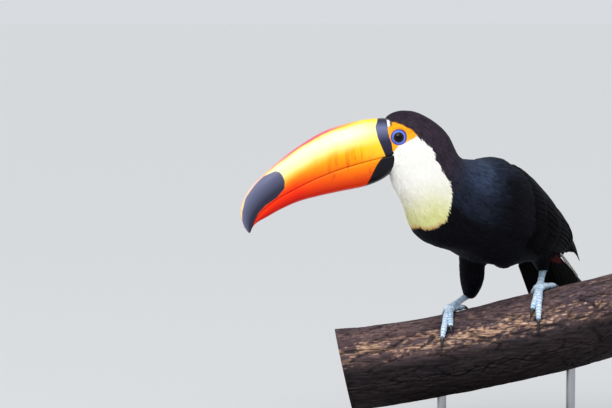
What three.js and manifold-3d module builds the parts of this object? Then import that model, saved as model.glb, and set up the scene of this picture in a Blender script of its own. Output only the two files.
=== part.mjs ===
// A life-size toco toucan on a short cut log, held by a plain display stand.
// Millimetres, +Z up. +X runs along the log towards its higher end, and the bird's bill points along -X.
// The origin is the centre of the stand's underside.
import * as THREE from 'three';
import { mergeVertices } from 'three/addons/utils/BufferGeometryUtils.js';
import Module from 'manifold-3d';

const wasm = await Module();
wasm.setup();

// ---------------------------------------------------------------- driving dimensions
const GAP = 0.35; // clearance kept between touching pieces

const STAND = { length: 230, width: 170, thickness: 16, cornerRadius: 24, edgeRound: 2.5, rodRadius: 5 };
const ROD_PLACES = { left: -62, right: 78 };

const LOG = {
  length: 350,
  radius: 44.3,
  middle: [4, 0, 120.2], // the log's axis above the middle of the stand
  slopeDegrees: 12.4,
  taper: 0.02, // share of the radius lost from the low end to the high end
};

const BODY_SIDES = 22;
const BODY_RINGS = 34;
const BILL_SIDES = 16;
const BILL_RINGS = 14;

// The trunk, neck and head are one swept body. Each station is a cross-section: where its middle is, the way
// it faces (yaw towards -Y from -X, and pitch up), and its half sizes to the side, back and belly.
const BODY_STATIONS = [
  { name: 'tail base', at: [66, 64, 210], yaw: 50, pitch: 46, side: 14, back: 8, belly: 9 },
  { name: 'rump', at: [54, 52, 222], yaw: 49, pitch: 44, side: 25, back: 17, belly: 22 },
  { name: 'pelvis', at: [35, 33, 239], yaw: 48, pitch: 36, side: 36, back: 32.5, belly: 42 },
  { name: 'middle back', at: [6, 7, 259], yaw: 48, pitch: 26, side: 43, back: 44.5, belly: 63 },
  { name: 'shoulders', at: [-26, -20, 269], yaw: 46, pitch: 26, side: 48, back: 58.5, belly: 54 },
  { name: 'breast', at: [-54, -42, 279], yaw: 38, pitch: 42, side: 43, back: 55, belly: 56 },
  { name: 'lower neck', at: [-76, -56, 303], yaw: 22, pitch: 52, side: 36, back: 36, belly: 42 },
  { name: 'upper neck', at: [-92, -62, 327], yaw: 9, pitch: 46, side: 31, back: 38.5, belly: 37.5 },
  { name: 'ears', at: [-103, -64, 341], yaw: 4, pitch: 30, side: 28, back: 33.5, belly: 34 },
  { name: 'eyes', at: [-112, -64, 345], yaw: 4, pitch: 10, side: 26, back: 30.5, belly: 31 },
  { name: 'face', at: [-121, -65, 345], yaw: 4, pitch: -6, side: 22, back: 24, belly: 28 },
];
const NECK_CUT = 0.47; // share of the way from tail base to face where trunk and neck part
const HEAD_CUT = 0.72;

// The head's own frame carries the bill and the eyes: +X forward along the gape, +Y left, +Z up.
const HEAD = { at: [-100, -64, 348], yaw: 4, pitch: -16 };

// Bill stations in the head's frame: along the gape, with the ridge above and the keel below it.
const BILL_STATIONS = [
  { gape: [21.5, -13], ridge: [17.5, 23.5], keel: [27, -30], width: 21.5 },
  { gape: [30, -12.4], ridge: [25, 26.5], keel: [42, -35.7], width: 21.5 },
  { gape: [56, -11.9], ridge: [49, 30.5], keel: [61, -37.5], width: 20.5 },
  { gape: [84, -12.3], ridge: [85, 29.9], keel: [87, -35.4], width: 19 },
  { gape: [110, -15], ridge: [117, 21.8], keel: [110.7, -33.8], width: 17 },
  { gape: [133, -19.4], ridge: [145, 11], keel: [131.4, -33.4], width: 14.5 },
  { gape: [154, -24.6], ridge: [169, -1], keel: [151.9, -36], width: 11.5 },
  { gape: [170, -31.5], ridge: [185, -13.6], keel: [168.5, -39.8], width: 8.2 },
  { gape: [181.5, -40], ridge: [194.2, -29], keel: [181.2, -43], width: 4.6 },
  { gape: [190, -51], ridge: [194, -50.5], keel: [189.4, -48.8], width: 1 },
];

const RIDGE_ROUNDNESS = 2.3;
const KEEL_ROUNDNESS = 2.2;

const EYE = { at: [12.1, 18.6, 3], radius: 7.4 }; // in the head's frame, and mirrored for the right

// Each foot grips the log with two toes forward over its -Y side and two behind. Places along the log are from
// its middle, and angles go round it from its top towards +Y.
const BALL_HEIGHT = 6; // the ball of the foot above the bark
const TOE_HEIGHT = 3.3;
const CLAW_DIP = 12;
const CLAW_START = 0.74; // share of a toe's length where the claw begins
const LEGS = {
  right: {
    thigh: [
      { at: [-27, -12, 248], radius: 19 },
      { at: [-29, 7, 214], radius: 15.5 },
      { at: [-28.5, 20, 187], radius: 14 },
      { at: [-30, 32, 167], radius: 7.5 },
    ],
    ankle: [-32, 34, 168],
    ball: { along: -49, angle: -8 },
    toes: [
      { along: -20, angle: -77 }, { along: -4.5, angle: -58 },
      { along: 22, angle: 27 }, { along: -10, angle: 62 },
    ],
  },
  left: {
    thigh: [
      { at: [32, 16, 248], radius: 16 },
      { at: [40, 18, 232], radius: 16 },
      { at: [46.5, 26, 213], radius: 12 },
      { at: [50.5, 36, 196], radius: 7.5 },
    ],
    ankle: [50.5, 36, 195],
    ball: { along: 51, angle: -8 },
    toes: [
      { along: -14.5, angle: -80 }, { along: -19, angle: -57 },
      { along: 25, angle: 30 }, { along: -9, angle: 50 },
    ],
  },
};

// The folded wings lie over a bed: the body from the lower neck to the pelvis, run on past the rump to the tips.
const WING_BED = [
  ...BODY_STATIONS.slice(2, 7).reverse(),
  { at: [62, 60, 219], yaw: 48, pitch: 42, side: 18.5, back: 25.5, belly: 27 },
  { at: [79, 75, 201], yaw: 48, pitch: 45, side: 14, back: 12.8, belly: 16 },
];
const WING_FRONT = { upper: 0.17, lower: 0.3, round: 0.04 }; // shares of the bed where the front edge lies
// How far round the bed each wing reaches, in degrees from the back, and how thick it is, wrist to tip.
const WING_SPANS = [
  { upper: 60, lower: 112, thick: 2 },
  { upper: 38, lower: 116, thick: 3.2 },
  { upper: 22, lower: 118, thick: 2.6 },
  { upper: 15, lower: 118, thick: 2.2 },
  { upper: 14, lower: 108, thick: 4 },
  { upper: 30, lower: 97, thick: 3 },
  { upper: 54, lower: 72, thick: 1.6 },
];
const EDGE_THICKNESS = 1.2;
const BED_CLEARANCE = 0.8;

const TAIL = {
  at: [48, 52, 217], yaw: 61, pitch: 49.5, length: 150, halfWidths: [21, 34, 39, 40.5, 40, 37],
  tipRound: 12, arch: 5, curl: -6, baseThickness: 6, tipThickness: 2.4,
};

// ---------------------------------------------------------------- helpers
const radians = THREE.MathUtils.degToRad;
const vector = (list) => new THREE.Vector3(...list);

// The axes of something that faces by yaw and pitch: forward, left and up.
function axesOf(yawDegrees, pitchDegrees) {
  const yaw = radians(yawDegrees);
  const pitch = radians(pitchDegrees);
  const forward = new THREE.Vector3(
    -Math.cos(yaw) * Math.cos(pitch), -Math.sin(yaw) * Math.cos(pitch), Math.sin(pitch));
  const left = new THREE.Vector3(Math.sin(yaw), -Math.cos(yaw), 0);
  return { forward, left, up: new THREE.Vector3().crossVectors(forward, left) };
}

const headAxes = axesOf(HEAD.yaw, HEAD.pitch);

// A point of the head's frame in the part's frame.
function headPoint(x, y, z) {
  return vector(HEAD.at).addScaledVector(headAxes.forward, x)
    .addScaledVector(headAxes.left, y).addScaledVector(headAxes.up, z);
}

// A smooth curve through lists of three numbers, read at 0 to 1.
function smooth(rows) {
  const curve = new THREE.CatmullRomCurve3(rows.map(vector), false, 'catmullrom', 0.5);
  return (t) => curve.getPoint(THREE.MathUtils.clamp(t, 0, 1));
}

// Moves every vertex of a geometry, closes it and turns its faces outwards.
function shaped(geometry, move) {
  const place = geometry.getAttribute('position');
  const v = new THREE.Vector3();
  for (let i = 0; i < place.count; i++) {
    const to = move(v.fromBufferAttribute(place, i));
    place.setXYZ(i, to.x, to.y, to.z);
  }
  return closed(geometry);
}

function closed(geometry) {
  geometry.deleteAttribute('normal');
  geometry.deleteAttribute('uv');
  const merged = mergeVertices(geometry, 1e-3);
  const p = merged.getAttribute('position');
  const index = merged.index.array;
  const [a, b, c] = [new THREE.Vector3(), new THREE.Vector3(), new THREE.Vector3()];
  let volume = 0;
  for (let i = 0; i < index.length; i += 3) {
    a.fromBufferAttribute(p, index[i]);
    b.fromBufferAttribute(p, index[i + 1]);
    c.fromBufferAttribute(p, index[i + 2]);
    volume += a.dot(b.cross(c));
  }
  if (volume < 0) for (let i = 0; i < index.length; i += 3) [index[i], index[i + 1]] = [index[i + 1], index[i]];
  return merged;
}

// A closed tube: place(t, angle, share) gives the point at t along it, angle round it and share of its radius.
function tube(sides, rings, place) {
  return shaped(new THREE.CylinderGeometry(1, 1, 1, sides, rings), (v) =>
    place(v.y + 0.5, Math.atan2(v.x, v.z), Math.min(1, Math.hypot(v.x, v.z))));
}

// A closed plate: place(u, v, side) with u and v from 0 to 1 and side 0 or 1 for its two faces.
function plate(uCount, vCount, place) {
  return shaped(new THREE.BoxGeometry(1, 1, 1, uCount, vCount, 1), (p) =>
    place(p.x + 0.5, p.y + 0.5, p.z + 0.5));
}

const solidOf = (geometry) => new wasm.Manifold(new wasm.Mesh({
  numProp: 3, vertProperties: new Float32Array(geometry.getAttribute('position').array),
  triVerts: new Uint32Array(geometry.index.array) }));

function geometryOf(solid) {
  const mesh = solid.getMesh();
  return new THREE.BufferGeometry()
    .setAttribute('position', new THREE.BufferAttribute(new Float32Array(mesh.vertProperties), 3))
    .setIndex(new THREE.BufferAttribute(new Uint32Array(mesh.triVerts), 1));
}

// The largest of a solid's separate bodies, which drops slivers left by a cut.
function largest(solid) {
  return solid.decompose().reduce((best, s) => (s.volume() > best.volume() ? s : best));
}

// ---------------------------------------------------------------- materials
const finish = (color, roughness, metalness = 0) => new THREE.MeshStandardMaterial({ color, roughness, metalness });
const FINISH = {
  blackFeather: finish(0x101014, 0.6),
  brownCap: finish(0x2a2024, 0.7),
  whiteBib: finish(0xf4f1dc, 0.7),
  bill: finish(0xf59a1c, 0.35),
  lowerBill: finish(0xe4481a, 0.35),
  eye: finish(0x120c08, 0.05),
  foot: finish(0x8fb2cc, 0.55),
  claw: finish(0x1d1c20, 0.4),
  log: finish(0x4a352b, 0.85),
  stand: finish(0x2b2624, 0.45),
  rod: finish(0xb9bcc0, 0.3, 1),
};

const toucan = new THREE.Group();
function add(name, geometry, material) {
  const mesh = new THREE.Mesh(geometry, material);
  mesh.name = name;
  toucan.add(mesh);
  return mesh;
}

// ---------------------------------------------------------------- the body
// Superellipse share for a direction: 2 is an ellipse, more is squarer.
function squarish(angle, power) {
  const c = Math.abs(Math.cos(angle)) ** power;
  const s = Math.abs(Math.sin(angle)) ** power;
  return (c + s) ** (-1 / power);
}

// A swept body through stations. Angle 0 is the back and 90 degrees the left side.
function sweep(stations) {
  const middle = smooth(stations.map((s) => s.at));
  const facing = smooth(stations.map((s) => [s.yaw, s.pitch, 0]));
  const sizes = smooth(stations.map((s) => [s.side, s.back, s.belly]));
  return {
    axes: (t) => axesOf(facing(t).x, facing(t).y),
    middle,
    point(t, angle, grow = 0, share = 1) {
      const { left, up } = axesOf(facing(t).x, facing(t).y);
      const size = sizes(t);
      const rise = Math.cos(angle) >= 0 ? size.y : size.z;
      const full = squarish(angle, 2.15) * share;
      return middle(t).addScaledVector(left, Math.sin(angle) * (size.x + grow) * full)
        .addScaledVector(up, Math.cos(angle) * (rise + grow) * full);
    },
  };
}

const body = sweep(BODY_STATIONS);
function bodySolid(grow) {
  return solidOf(tube(BODY_SIDES, BODY_RINGS, (t, angle, share) => body.point(t, angle, grow, share)));
}

// ---------------------------------------------------------------- the bill
const billCurve = (key) => smooth(BILL_STATIONS.map((s) => [s[key][0], s.width, s[key][1]]));
const gapeAt = billCurve('gape');

// One half of the bill: a rounded arch from the flat gape out to the ridge or the keel.
function billHalf(outerAt, roundness, grow = 0) {
  return tube(BILL_SIDES, BILL_RINGS, (t, angle, share) => {
    const gape = gapeAt(t);
    const rise = outerAt(t).sub(gape).setY(0);
    const height = rise.length();
    const arched = Math.abs(angle) < Math.PI / 2;
    const full = arched ? squarish(angle, roundness) : 1;
    const across = Math.sin(angle) * full * (gape.y + grow) * share;
    const above = arched ? Math.cos(angle) * full * share : 0;
    const low = GAP / 2 - grow;
    const lift = (low + above * (height + grow - low)) / height;
    const behind = t < 1e-6 ? 2 * grow : 0;
    return headPoint(gape.x + rise.x * lift - behind, across, gape.z + rise.z * lift);
  });
}

const upperBill = (grow) => solidOf(billHalf(billCurve('ridge'), RIDGE_ROUNDNESS, grow));
const lowerBill = (grow) => solidOf(billHalf(billCurve('keel'), KEEL_ROUNDNESS, grow));
add('upper_bill', geometryOf(upperBill(0)), FINISH.bill);
add('lower_bill', geometryOf(lowerBill(0)), FINISH.lowerBill);

// ---------------------------------------------------------------- eyes
function eyeball(side, grow) {
  const ball = new THREE.SphereGeometry(EYE.radius + grow, 12, 8);
  const at = headPoint(EYE.at[0], side * EYE.at[1], EYE.at[2]);
  return closed(ball.translate(at.x, at.y, at.z));
}
add('eye_left', eyeball(1, 0), FINISH.eye);
add('eye_right', eyeball(-1, 0), FINISH.eye);

// ---------------------------------------------------------------- the log
const logAxis = new THREE.Vector3(Math.cos(radians(LOG.slopeDegrees)), 0, Math.sin(radians(LOG.slopeDegrees)));
const logUp = new THREE.Vector3(-logAxis.z, 0, logAxis.x);
const logBack = new THREE.Vector3(0, 1, 0);

// The log's radius is not quite even: shallow swells run round and along it.
function logRadius(along, angle) {
  const swell = 0.9 * Math.sin(along / 41 + 2 * angle) + 0.7 * Math.sin(along / 67 - 3 * angle + 1);
  return LOG.radius * (1 - LOG.taper * along / LOG.length) + swell;
}

// A point over the log: along it from its middle, round it from its top towards +Y, and above its surface.
function overLog(along, angle, above) {
  const r = logRadius(along, angle) + above;
  return vector(LOG.middle).addScaledVector(logAxis, along)
    .addScaledVector(logUp, Math.cos(angle) * r).addScaledVector(logBack, Math.sin(angle) * r);
}

function logSolid(grow) {
  return solidOf(tube(22, 12, (t, angle, share) => {
    const along = (t - 0.5) * (LOG.length + 2 * grow);
    const r = (logRadius(along, angle) + grow) * share;
    return vector(LOG.middle).addScaledVector(logAxis, along)
      .addScaledVector(logUp, Math.cos(angle) * r).addScaledVector(logBack, Math.sin(angle) * r);
  }));
}
const log = logSolid(0);
const logClear = logSolid(GAP);
add('perch_log', geometryOf(log), FINISH.log);

// ---------------------------------------------------------------- legs and feet
// A tapering round limb through places, with a radius at each.
function limb(places, radii, sides, rings, from = 0, to = 1) {
  const line = new THREE.CatmullRomCurve3(places);
  const radiusAt = smooth(radii.map((r) => [r, 0, 0]));
  return tube(sides, rings, (t, angle, share) => {
    const u = from + (to - from) * t;
    const tangent = line.getTangent(u);
    const across = new THREE.Vector3().crossVectors(tangent, logAxis).normalize();
    const other = new THREE.Vector3().crossVectors(tangent, across);
    const r = radiusAt(u).x * share;
    return line.getPoint(u).addScaledVector(across, Math.cos(angle) * r)
      .addScaledVector(other, Math.sin(angle) * r);
  });
}

// A toe's line over the log: it leaves the ball of the foot, bends down and lies along the bark.
function toePlaces(ball, toe) {
  const places = [];
  for (let i = 0; i <= 5; i++) {
    const t = i / 5;
    const along = ball.along + toe.along * t;
    const angle = radians(ball.angle + (toe.angle - ball.angle) * t);
    const rise = THREE.MathUtils.lerp(BALL_HEIGHT, TOE_HEIGHT, Math.min(1, t * 3)) - CLAW_DIP * Math.max(0, t - 0.8);
    places.push(overLog(along, angle, rise));
  }
  return places;
}

const bodyClear = bodySolid(GAP);
for (const [side, leg] of Object.entries(LEGS)) {
  const thigh = solidOf(limb(leg.thigh.map((s) => vector(s.at)), leg.thigh.map((s) => s.radius), 12, 8));
  const thighClear = solidOf(limb(leg.thigh.map((s) => vector(s.at)), leg.thigh.map((s) => s.radius + GAP), 12, 8));
  add('thigh_' + side, geometryOf(largest(thigh.subtract(bodyClear))), FINISH.blackFeather);

  const ball = overLog(leg.ball.along, radians(leg.ball.angle), BALL_HEIGHT);
  const ankle = vector(leg.ankle);
  const heel = ankle.clone().add(ankle.clone().sub(ball).setLength(2));
  const middle = ankle.clone().lerp(ball, 0.5);
  let foot = solidOf(limb([heel, ankle, middle, ball], [4.6, 4.4, 3.3, 4.6], 8, 6));
  const pad = new THREE.SphereGeometry(5.4, 8, 6).scale(1.15, 1, 0.85);
  foot = foot.add(solidOf(closed(pad.translate(ball.x, ball.y, ball.z))));
  leg.toes.forEach((toe, i) => {
    const places = toePlaces(leg.ball, toe);
    foot = foot.add(solidOf(limb(places, [4, 3.9, 3.6, 3.4, 3, 2.6], 7, 4, 0, CLAW_START - 0.008)));
    const claw = solidOf(limb(places, [2.9, 2.9, 2.9, 2.9, 2.3, 0.35], 7, 3, CLAW_START, 1));
    add('claw_' + side + '_' + (i + 1), geometryOf(largest(claw.subtract(logClear))), FINISH.claw);
  });
  foot = foot.subtract(logClear).subtract(thighClear);
  add('foot_' + side, geometryOf(largest(foot)), FINISH.foot);
}

// ---------------------------------------------------------------- wings and tail
const bed = sweep(WING_BED);
const wingEdges = smooth(WING_SPANS.map((s) => [s.upper, s.lower, s.thick]));
function wing(side) {
  return solidOf(plate(14, 9, (u, v, face) => {
    const span = wingEdges(u);
    const angle = radians(THREE.MathUtils.lerp(span.x, span.y, v));
    const front = THREE.MathUtils.lerp(WING_FRONT.upper, WING_FRONT.lower, v) + WING_FRONT.round * (2 * v - 1) ** 2;
    const swell = Math.sqrt(Math.max(0, Math.sin(Math.PI * v)));
    const out = GAP + (face ? EDGE_THICKNESS + span.z * swell : 0);
    return bed.point(THREE.MathUtils.lerp(front, 1, u), side * angle, out + BED_CLEARANCE);
  }));
}

const tailAxes = axesOf(TAIL.yaw, TAIL.pitch);
function tail() {
  const base = vector(TAIL.at);
  const outline = smooth(TAIL.halfWidths.map((w) => [w, 0, 0]));
  return solidOf(plate(8, 8, (u, v, face) => {
    const across = 2 * v - 1;
    const half = outline(u).x;
    const rounding = TAIL.tipRound * (u * across) ** 2;
    const along = u * (TAIL.length - rounding);
    const arch = TAIL.arch * across * across;
    const thick = THREE.MathUtils.lerp(TAIL.baseThickness, TAIL.tipThickness, u);
    return base.clone().addScaledVector(tailAxes.forward, -along)
      .addScaledVector(tailAxes.left, across * half)
      .addScaledVector(tailAxes.up, (face - 0.5) * thick - arch - TAIL.curl * u * u);
  }));
}

const thighsClear = ['left', 'right'].map((side) => LEGS[side].thigh)
  .map((t) => solidOf(limb(t.map((s) => vector(s.at)), t.map((s) => s.radius + GAP), 12, 8)));
let leftWing = wing(1).subtract(bodyClear);
let rightWing = wing(-1).subtract(bodyClear);
for (const t of thighsClear) {
  leftWing = leftWing.subtract(t);
  rightWing = rightWing.subtract(t);
}
add('wing_left', geometryOf(largest(leftWing)), FINISH.blackFeather);
add('wing_right', geometryOf(largest(rightWing)), FINISH.blackFeather);
add('tail', geometryOf(largest(tail().subtract(bodyClear))), FINISH.blackFeather);

// ---------------------------------------------------------------- trunk, neck and head
// The swept body is parted by two thin cuts, and the head is cut round the bill and the eyes.
function partedAt(solid, share) {
  const normal = body.axes(share).forward;
  const offset = body.middle(share).dot(normal);
  return {
    front: solid.trimByPlane(normal.toArray(), offset + GAP / 2),
    rear: solid.trimByPlane(normal.clone().negate().toArray(), -(offset - GAP / 2)),
  };
}
const atNeck = partedAt(bodySolid(0), NECK_CUT);
const atHead = partedAt(atNeck.front, HEAD_CUT);
const head = [upperBill(GAP), lowerBill(GAP), solidOf(eyeball(1, GAP)), solidOf(eyeball(-1, GAP))]
  .reduce((left, tool) => left.subtract(tool), atHead.front);
add('trunk', geometryOf(largest(atNeck.rear)), FINISH.blackFeather);
add('neck', geometryOf(largest(atHead.rear)), FINISH.whiteBib);
add('head', geometryOf(largest(head)), FINISH.brownCap);

// ---------------------------------------------------------------- the display stand
function roundedBase() {
  const [l, w, r] = [STAND.length / 2, STAND.width / 2, STAND.cornerRadius];
  const outline = new THREE.Shape()
    .moveTo(-l + r, -w).lineTo(l - r, -w).absarc(l - r, -w + r, r, -Math.PI / 2, 0)
    .lineTo(l, w - r).absarc(l - r, w - r, r, 0, Math.PI / 2)
    .lineTo(-l + r, w).absarc(-l + r, w - r, r, Math.PI / 2, Math.PI)
    .lineTo(-l, -w + r).absarc(-l + r, -w + r, r, Math.PI, 1.5 * Math.PI);
  const e = STAND.edgeRound;
  return closed(new THREE.ExtrudeGeometry(outline, {
    depth: STAND.thickness - 2 * e, curveSegments: 5, bevelEnabled: true,
    bevelThickness: e, bevelSize: e, bevelOffset: -e, bevelSegments: 1,
  }).translate(0, 0, e));
}
add('stand_base', roundedBase(), FINISH.stand);
for (const [side, x] of Object.entries(ROD_PLACES)) {
  const low = STAND.thickness + GAP;
  const high = LOG.middle[2] + (x - LOG.middle[0]) * Math.tan(radians(LOG.slopeDegrees));
  const rod = new THREE.CylinderGeometry(STAND.rodRadius, STAND.rodRadius, high - low, 20)
    .rotateX(Math.PI / 2).translate(x, 0, (high + low) / 2);
  add('stand_rod_' + side, geometryOf(largest(solidOf(closed(rod)).subtract(logClear))), FINISH.rod);
}

export default toucan;
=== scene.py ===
"""A life-size toco toucan gripping a short cut log, held by a plain display stand.

Shapes are worked out in millimetres and scaled to metres when a mesh is finished. +Z is up, the log runs
along +X, and the bird's bill points along -X.
"""
import logging
from dataclasses import astuple, dataclass
from enum import Enum
from math import acos, cos, degrees, exp, pi, radians, sin, sqrt, tan, tau
from typing import Callable, Sequence

import bmesh
import bpy
import numpy as np
from mathutils import Matrix, Vector, noise
from mathutils.bvhtree import BVHTree


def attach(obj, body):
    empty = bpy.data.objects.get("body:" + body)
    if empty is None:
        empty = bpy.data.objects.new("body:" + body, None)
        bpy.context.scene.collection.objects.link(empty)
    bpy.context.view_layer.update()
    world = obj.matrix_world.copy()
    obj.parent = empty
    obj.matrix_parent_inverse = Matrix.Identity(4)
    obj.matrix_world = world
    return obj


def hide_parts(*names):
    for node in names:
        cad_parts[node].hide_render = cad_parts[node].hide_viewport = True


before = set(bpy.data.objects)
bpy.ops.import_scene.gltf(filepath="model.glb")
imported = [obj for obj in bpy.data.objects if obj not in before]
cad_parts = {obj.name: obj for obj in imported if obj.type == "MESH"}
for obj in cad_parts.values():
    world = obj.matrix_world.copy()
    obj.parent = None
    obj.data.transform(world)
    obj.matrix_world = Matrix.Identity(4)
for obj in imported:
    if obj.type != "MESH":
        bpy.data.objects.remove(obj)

MM = 0.001  # metres in a millimetre
BAKE_MAP = "OFBake"
PATCH = 0.003  # side of a feather's patch on the bake map
WELD = 1e-4  # points nearer than this, in millimetres, are one
WHOLE_MAP = (0.0, 0.0, 1.0, 1.0)
SIDES = {1: "left", -1: "right"}
REPORT = logging.getLogger("toucan")
RNG = np.random.default_rng(11)

BMesh, Mesh, Material, Piece = bmesh.types.BMesh, bpy.types.Mesh, bpy.types.Material, bpy.types.Object
Array = np.ndarray
Pair, Triple = tuple[float, float], tuple[float, float, float]
Cell = tuple[float, float, float, float]  # a part of the bake map, as a corner and two sides
Place = Callable[[float, float], Vector]  # a place from the shares along and round a tube
Mark = Callable[[float, float, Vector], float]  # a number from those shares and the place


# ---- measuring
def hex_colour(code: str) -> tuple[float, float, float, float]:
    """Turns an sRGB hex colour to linear.

    Args:
        code: The colour as "#rrggbb".

    Returns:
        Linear red, green and blue, and an alpha of 1.
    """
    parts = [int(code[i:i + 2], 16) / 255 for i in (1, 3, 5)]
    red, green, blue = (c / 12.92 if c <= 0.04045 else ((c + 0.055) / 1.055) ** 2.4 for c in parts)
    return red, green, blue, 1.0


def unit(rows: Array) -> Array:
    """Scales each row vector to length 1."""
    return rows / np.maximum(np.linalg.norm(rows, axis=-1, keepdims=True), 1e-9)


def smooth_curve(stations: Sequence[Sequence[float]], count: int) -> Array:
    """Reads a Catmull-Rom curve through stations at even shares of its way.

    Args:
        stations: Rows of numbers that the curve passes through.
        count: How many rows to read.

    Returns:
        The rows read, one for each share from 0 to 1.
    """
    rows = np.array(stations, float)
    rows = np.vstack([2 * rows[0] - rows[1], rows, 2 * rows[-1] - rows[-2]])
    at = np.linspace(0, len(rows) - 3, count)
    k = np.minimum(at.astype(int), len(rows) - 4)
    f = (at - k)[:, None]
    a, b, c, d = rows[k], rows[k + 1], rows[k + 2], rows[k + 3]
    return 0.5 * (2 * b + (c - a) * f + (2 * a - 5 * b + 4 * c - d) * f ** 2
                  + (3 * b - a - 3 * c + d) * f ** 3)


def ease(values: Array, low: float, high: float) -> Array:
    """Gives 0 below low, 1 above high and a smooth step between them."""
    t = np.clip((values - low) / (high - low), 0, 1)
    return t * t * (3 - 2 * t)


def step(value: float, low: float, high: float) -> float:
    """Gives the same smooth step at one number."""
    return float(ease(np.float64(value), low, high))


def edge_distance(points: Array, outline: Sequence[Pair]) -> Array:
    """Measures how far points lie inside a closed outline.

    Args:
        points: Rows of two coordinates.
        outline: The outline's corners in order.

    Returns:
        Distances, positive inside and negative outside.
    """
    corners = np.array(outline, float)
    nearest = np.full(len(points), 1e9)
    inside = np.zeros(len(points), bool)
    for a, b in zip(corners, np.roll(corners, -1, axis=0)):
        along = np.clip(((points - a) @ (b - a)) / max((b - a) @ (b - a), 1e-9), 0, 1)
        nearest = np.minimum(nearest, np.linalg.norm(points - a - along[:, None] * (b - a), axis=1))
        crosses = (points[:, 1] < a[1]) != (points[:, 1] < b[1])
        with np.errstate(divide="ignore", invalid="ignore"):
            meets = a[0] + (points[:, 1] - a[1]) / (b[1] - a[1]) * (b[0] - a[0])
        inside ^= crosses & (points[:, 0] < meets)
    return np.where(inside, nearest, -nearest)


@dataclass(frozen=True)
class Facing:
    """A place with a direction: yaw turns from -X towards -Y, and pitch lifts."""

    at: Triple
    yaw: float
    pitch: float

    def axes(self) -> Array:
        """Gives the forward, left and up directions as rows.

        Returns:
            Three unit vectors.
        """
        yaw, pitch = radians(self.yaw), radians(self.pitch)
        level = cos(pitch)
        forward = np.array([-cos(yaw) * level, -sin(yaw) * level, sin(pitch)])
        left = np.array([sin(yaw), -cos(yaw), 0.0])
        return np.stack([forward, left, np.cross(forward, left)])

    def point(self, x: float, y: float, z: float) -> Vector:
        """Gives the place that lies x forward, y to the left and z up from here."""
        return Vector(np.array(self.at) + np.array([x, y, z]) @ self.axes())

    def inside(self, points: Array) -> Array:
        """Gives each point's forward, left and up distances from here."""
        return (points - np.array(self.at)) @ self.axes().T


HEAD = Facing((-100, -64, 348), 4, -16)
TAIL = Facing((48, 52, 217), 61, 49.5)


class Spine:
    """The bird's middle line from the bill's root to the tail's root, which the plumage lies along."""

    STATIONS = [(-127, -65, 344), (-121, -65, 345), (-112, -64, 345), (-103, -64, 341), (-92, -62, 327),
                (-76, -56, 303), (-54, -42, 279), (-26, -20, 269), (6, 7, 259), (35, 33, 239), (54, 52, 222),
                (66, 64, 210)]
    STEPS = 400
    BATCH = 20000  # points measured at a time, to spare memory

    def __init__(self) -> None:
        """Reads the line at even steps."""
        self.places = smooth_curve(self.STATIONS, self.STEPS)
        self.reach = np.concatenate([[0], np.cumsum(np.linalg.norm(np.diff(self.places, axis=0), axis=1))])
        self.back = unit(np.gradient(self.places, axis=0))
        self.left = unit(np.cross([0, 0, 1], -self.back))
        self.up = np.cross(-self.back, self.left)

    def measure(self, points: Array) -> tuple[Array, Array, Array]:
        """Finds where points lie about the line.

        Args:
            points: Places in millimetres.

        Returns:
            The millimetres along the line from the bill, the degrees round it from the back towards the left,
            and the line's direction towards the tail there.
        """
        nearest = np.empty(len(points), int)
        squares = (self.places ** 2).sum(axis=1)
        for start in range(0, len(points), self.BATCH):
            part = points[start:start + self.BATCH]
            nearest[start:start + self.BATCH] = (squares - 2 * part @ self.places.T).argmin(axis=1)
        out = points - self.places[nearest]
        left, up = (out * self.left[nearest]).sum(axis=1), (out * self.up[nearest]).sum(axis=1)
        return self.reach[nearest], np.degrees(np.arctan2(left, up)), self.back[nearest]


# ---- making meshes
def vertex_places(mesh: Mesh) -> Array:
    """Reads a mesh's vertices in millimetres."""
    flat = np.empty(len(mesh.vertices) * 3)
    mesh.vertices.foreach_get("co", flat)
    return flat.reshape(-1, 3) / MM


def vertex_normals(mesh: Mesh) -> Array:
    """Reads a mesh's vertex normals."""
    flat = np.empty(len(mesh.vertices) * 3)
    mesh.vertices.foreach_get("normal", flat)
    return flat.reshape(-1, 3)


def put_attribute(mesh: Mesh, name: str, values: Array) -> None:
    """Stores one number for each vertex under a name that a material can read."""
    layer = mesh.attributes.get(name) or mesh.attributes.new(name, "FLOAT", "POINT")
    layer.data.foreach_set("value", np.asarray(values, np.float32))


def in_scene(name: str, data: bpy.types.ID) -> Piece:
    """Makes an object and puts it in the scene."""
    made = bpy.data.objects.new(name, data)
    bpy.context.scene.collection.objects.link(made)
    return made


def put_object(name: str, mesh: Mesh, material: Material,
               stands_for: Sequence[str] = ()) -> Piece:
    """Puts a finished mesh in the scene as a piece of the part.

    Args:
        name: The piece's name.
        mesh: Its mesh, in metres and in place.
        material: Its material.
        stands_for: The CAD nodes that it replaces.

    Returns:
        The new object.
    """
    piece = in_scene(name, mesh)
    mesh.materials.clear()
    mesh.materials.append(material)
    mesh.polygons.foreach_set("use_smooth", np.ones(len(mesh.polygons), bool))
    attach(piece, "root")
    if stands_for:
        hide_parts(*stands_for)
    REPORT.info("%s: %d faces", name, len(mesh.polygons))
    return piece


def finish_mesh(bm: BMesh, name: str, outward: bool = True) -> Mesh:
    """Welds, orients and scales a shape.

    Args:
        bm: The shape, in millimetres, which is freed.
        name: The mesh's name.
        outward: Whether to turn its faces outwards.

    Returns:
        The mesh, in metres.
    """
    bmesh.ops.remove_doubles(bm, verts=bm.verts[:], dist=WELD)
    if outward:
        bmesh.ops.recalc_face_normals(bm, faces=bm.faces[:])
    bmesh.ops.scale(bm, vec=(MM, MM, MM), verts=bm.verts[:])
    mesh = bpy.data.meshes.new(name)
    bm.to_mesh(mesh)
    bm.free()
    return mesh


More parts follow.
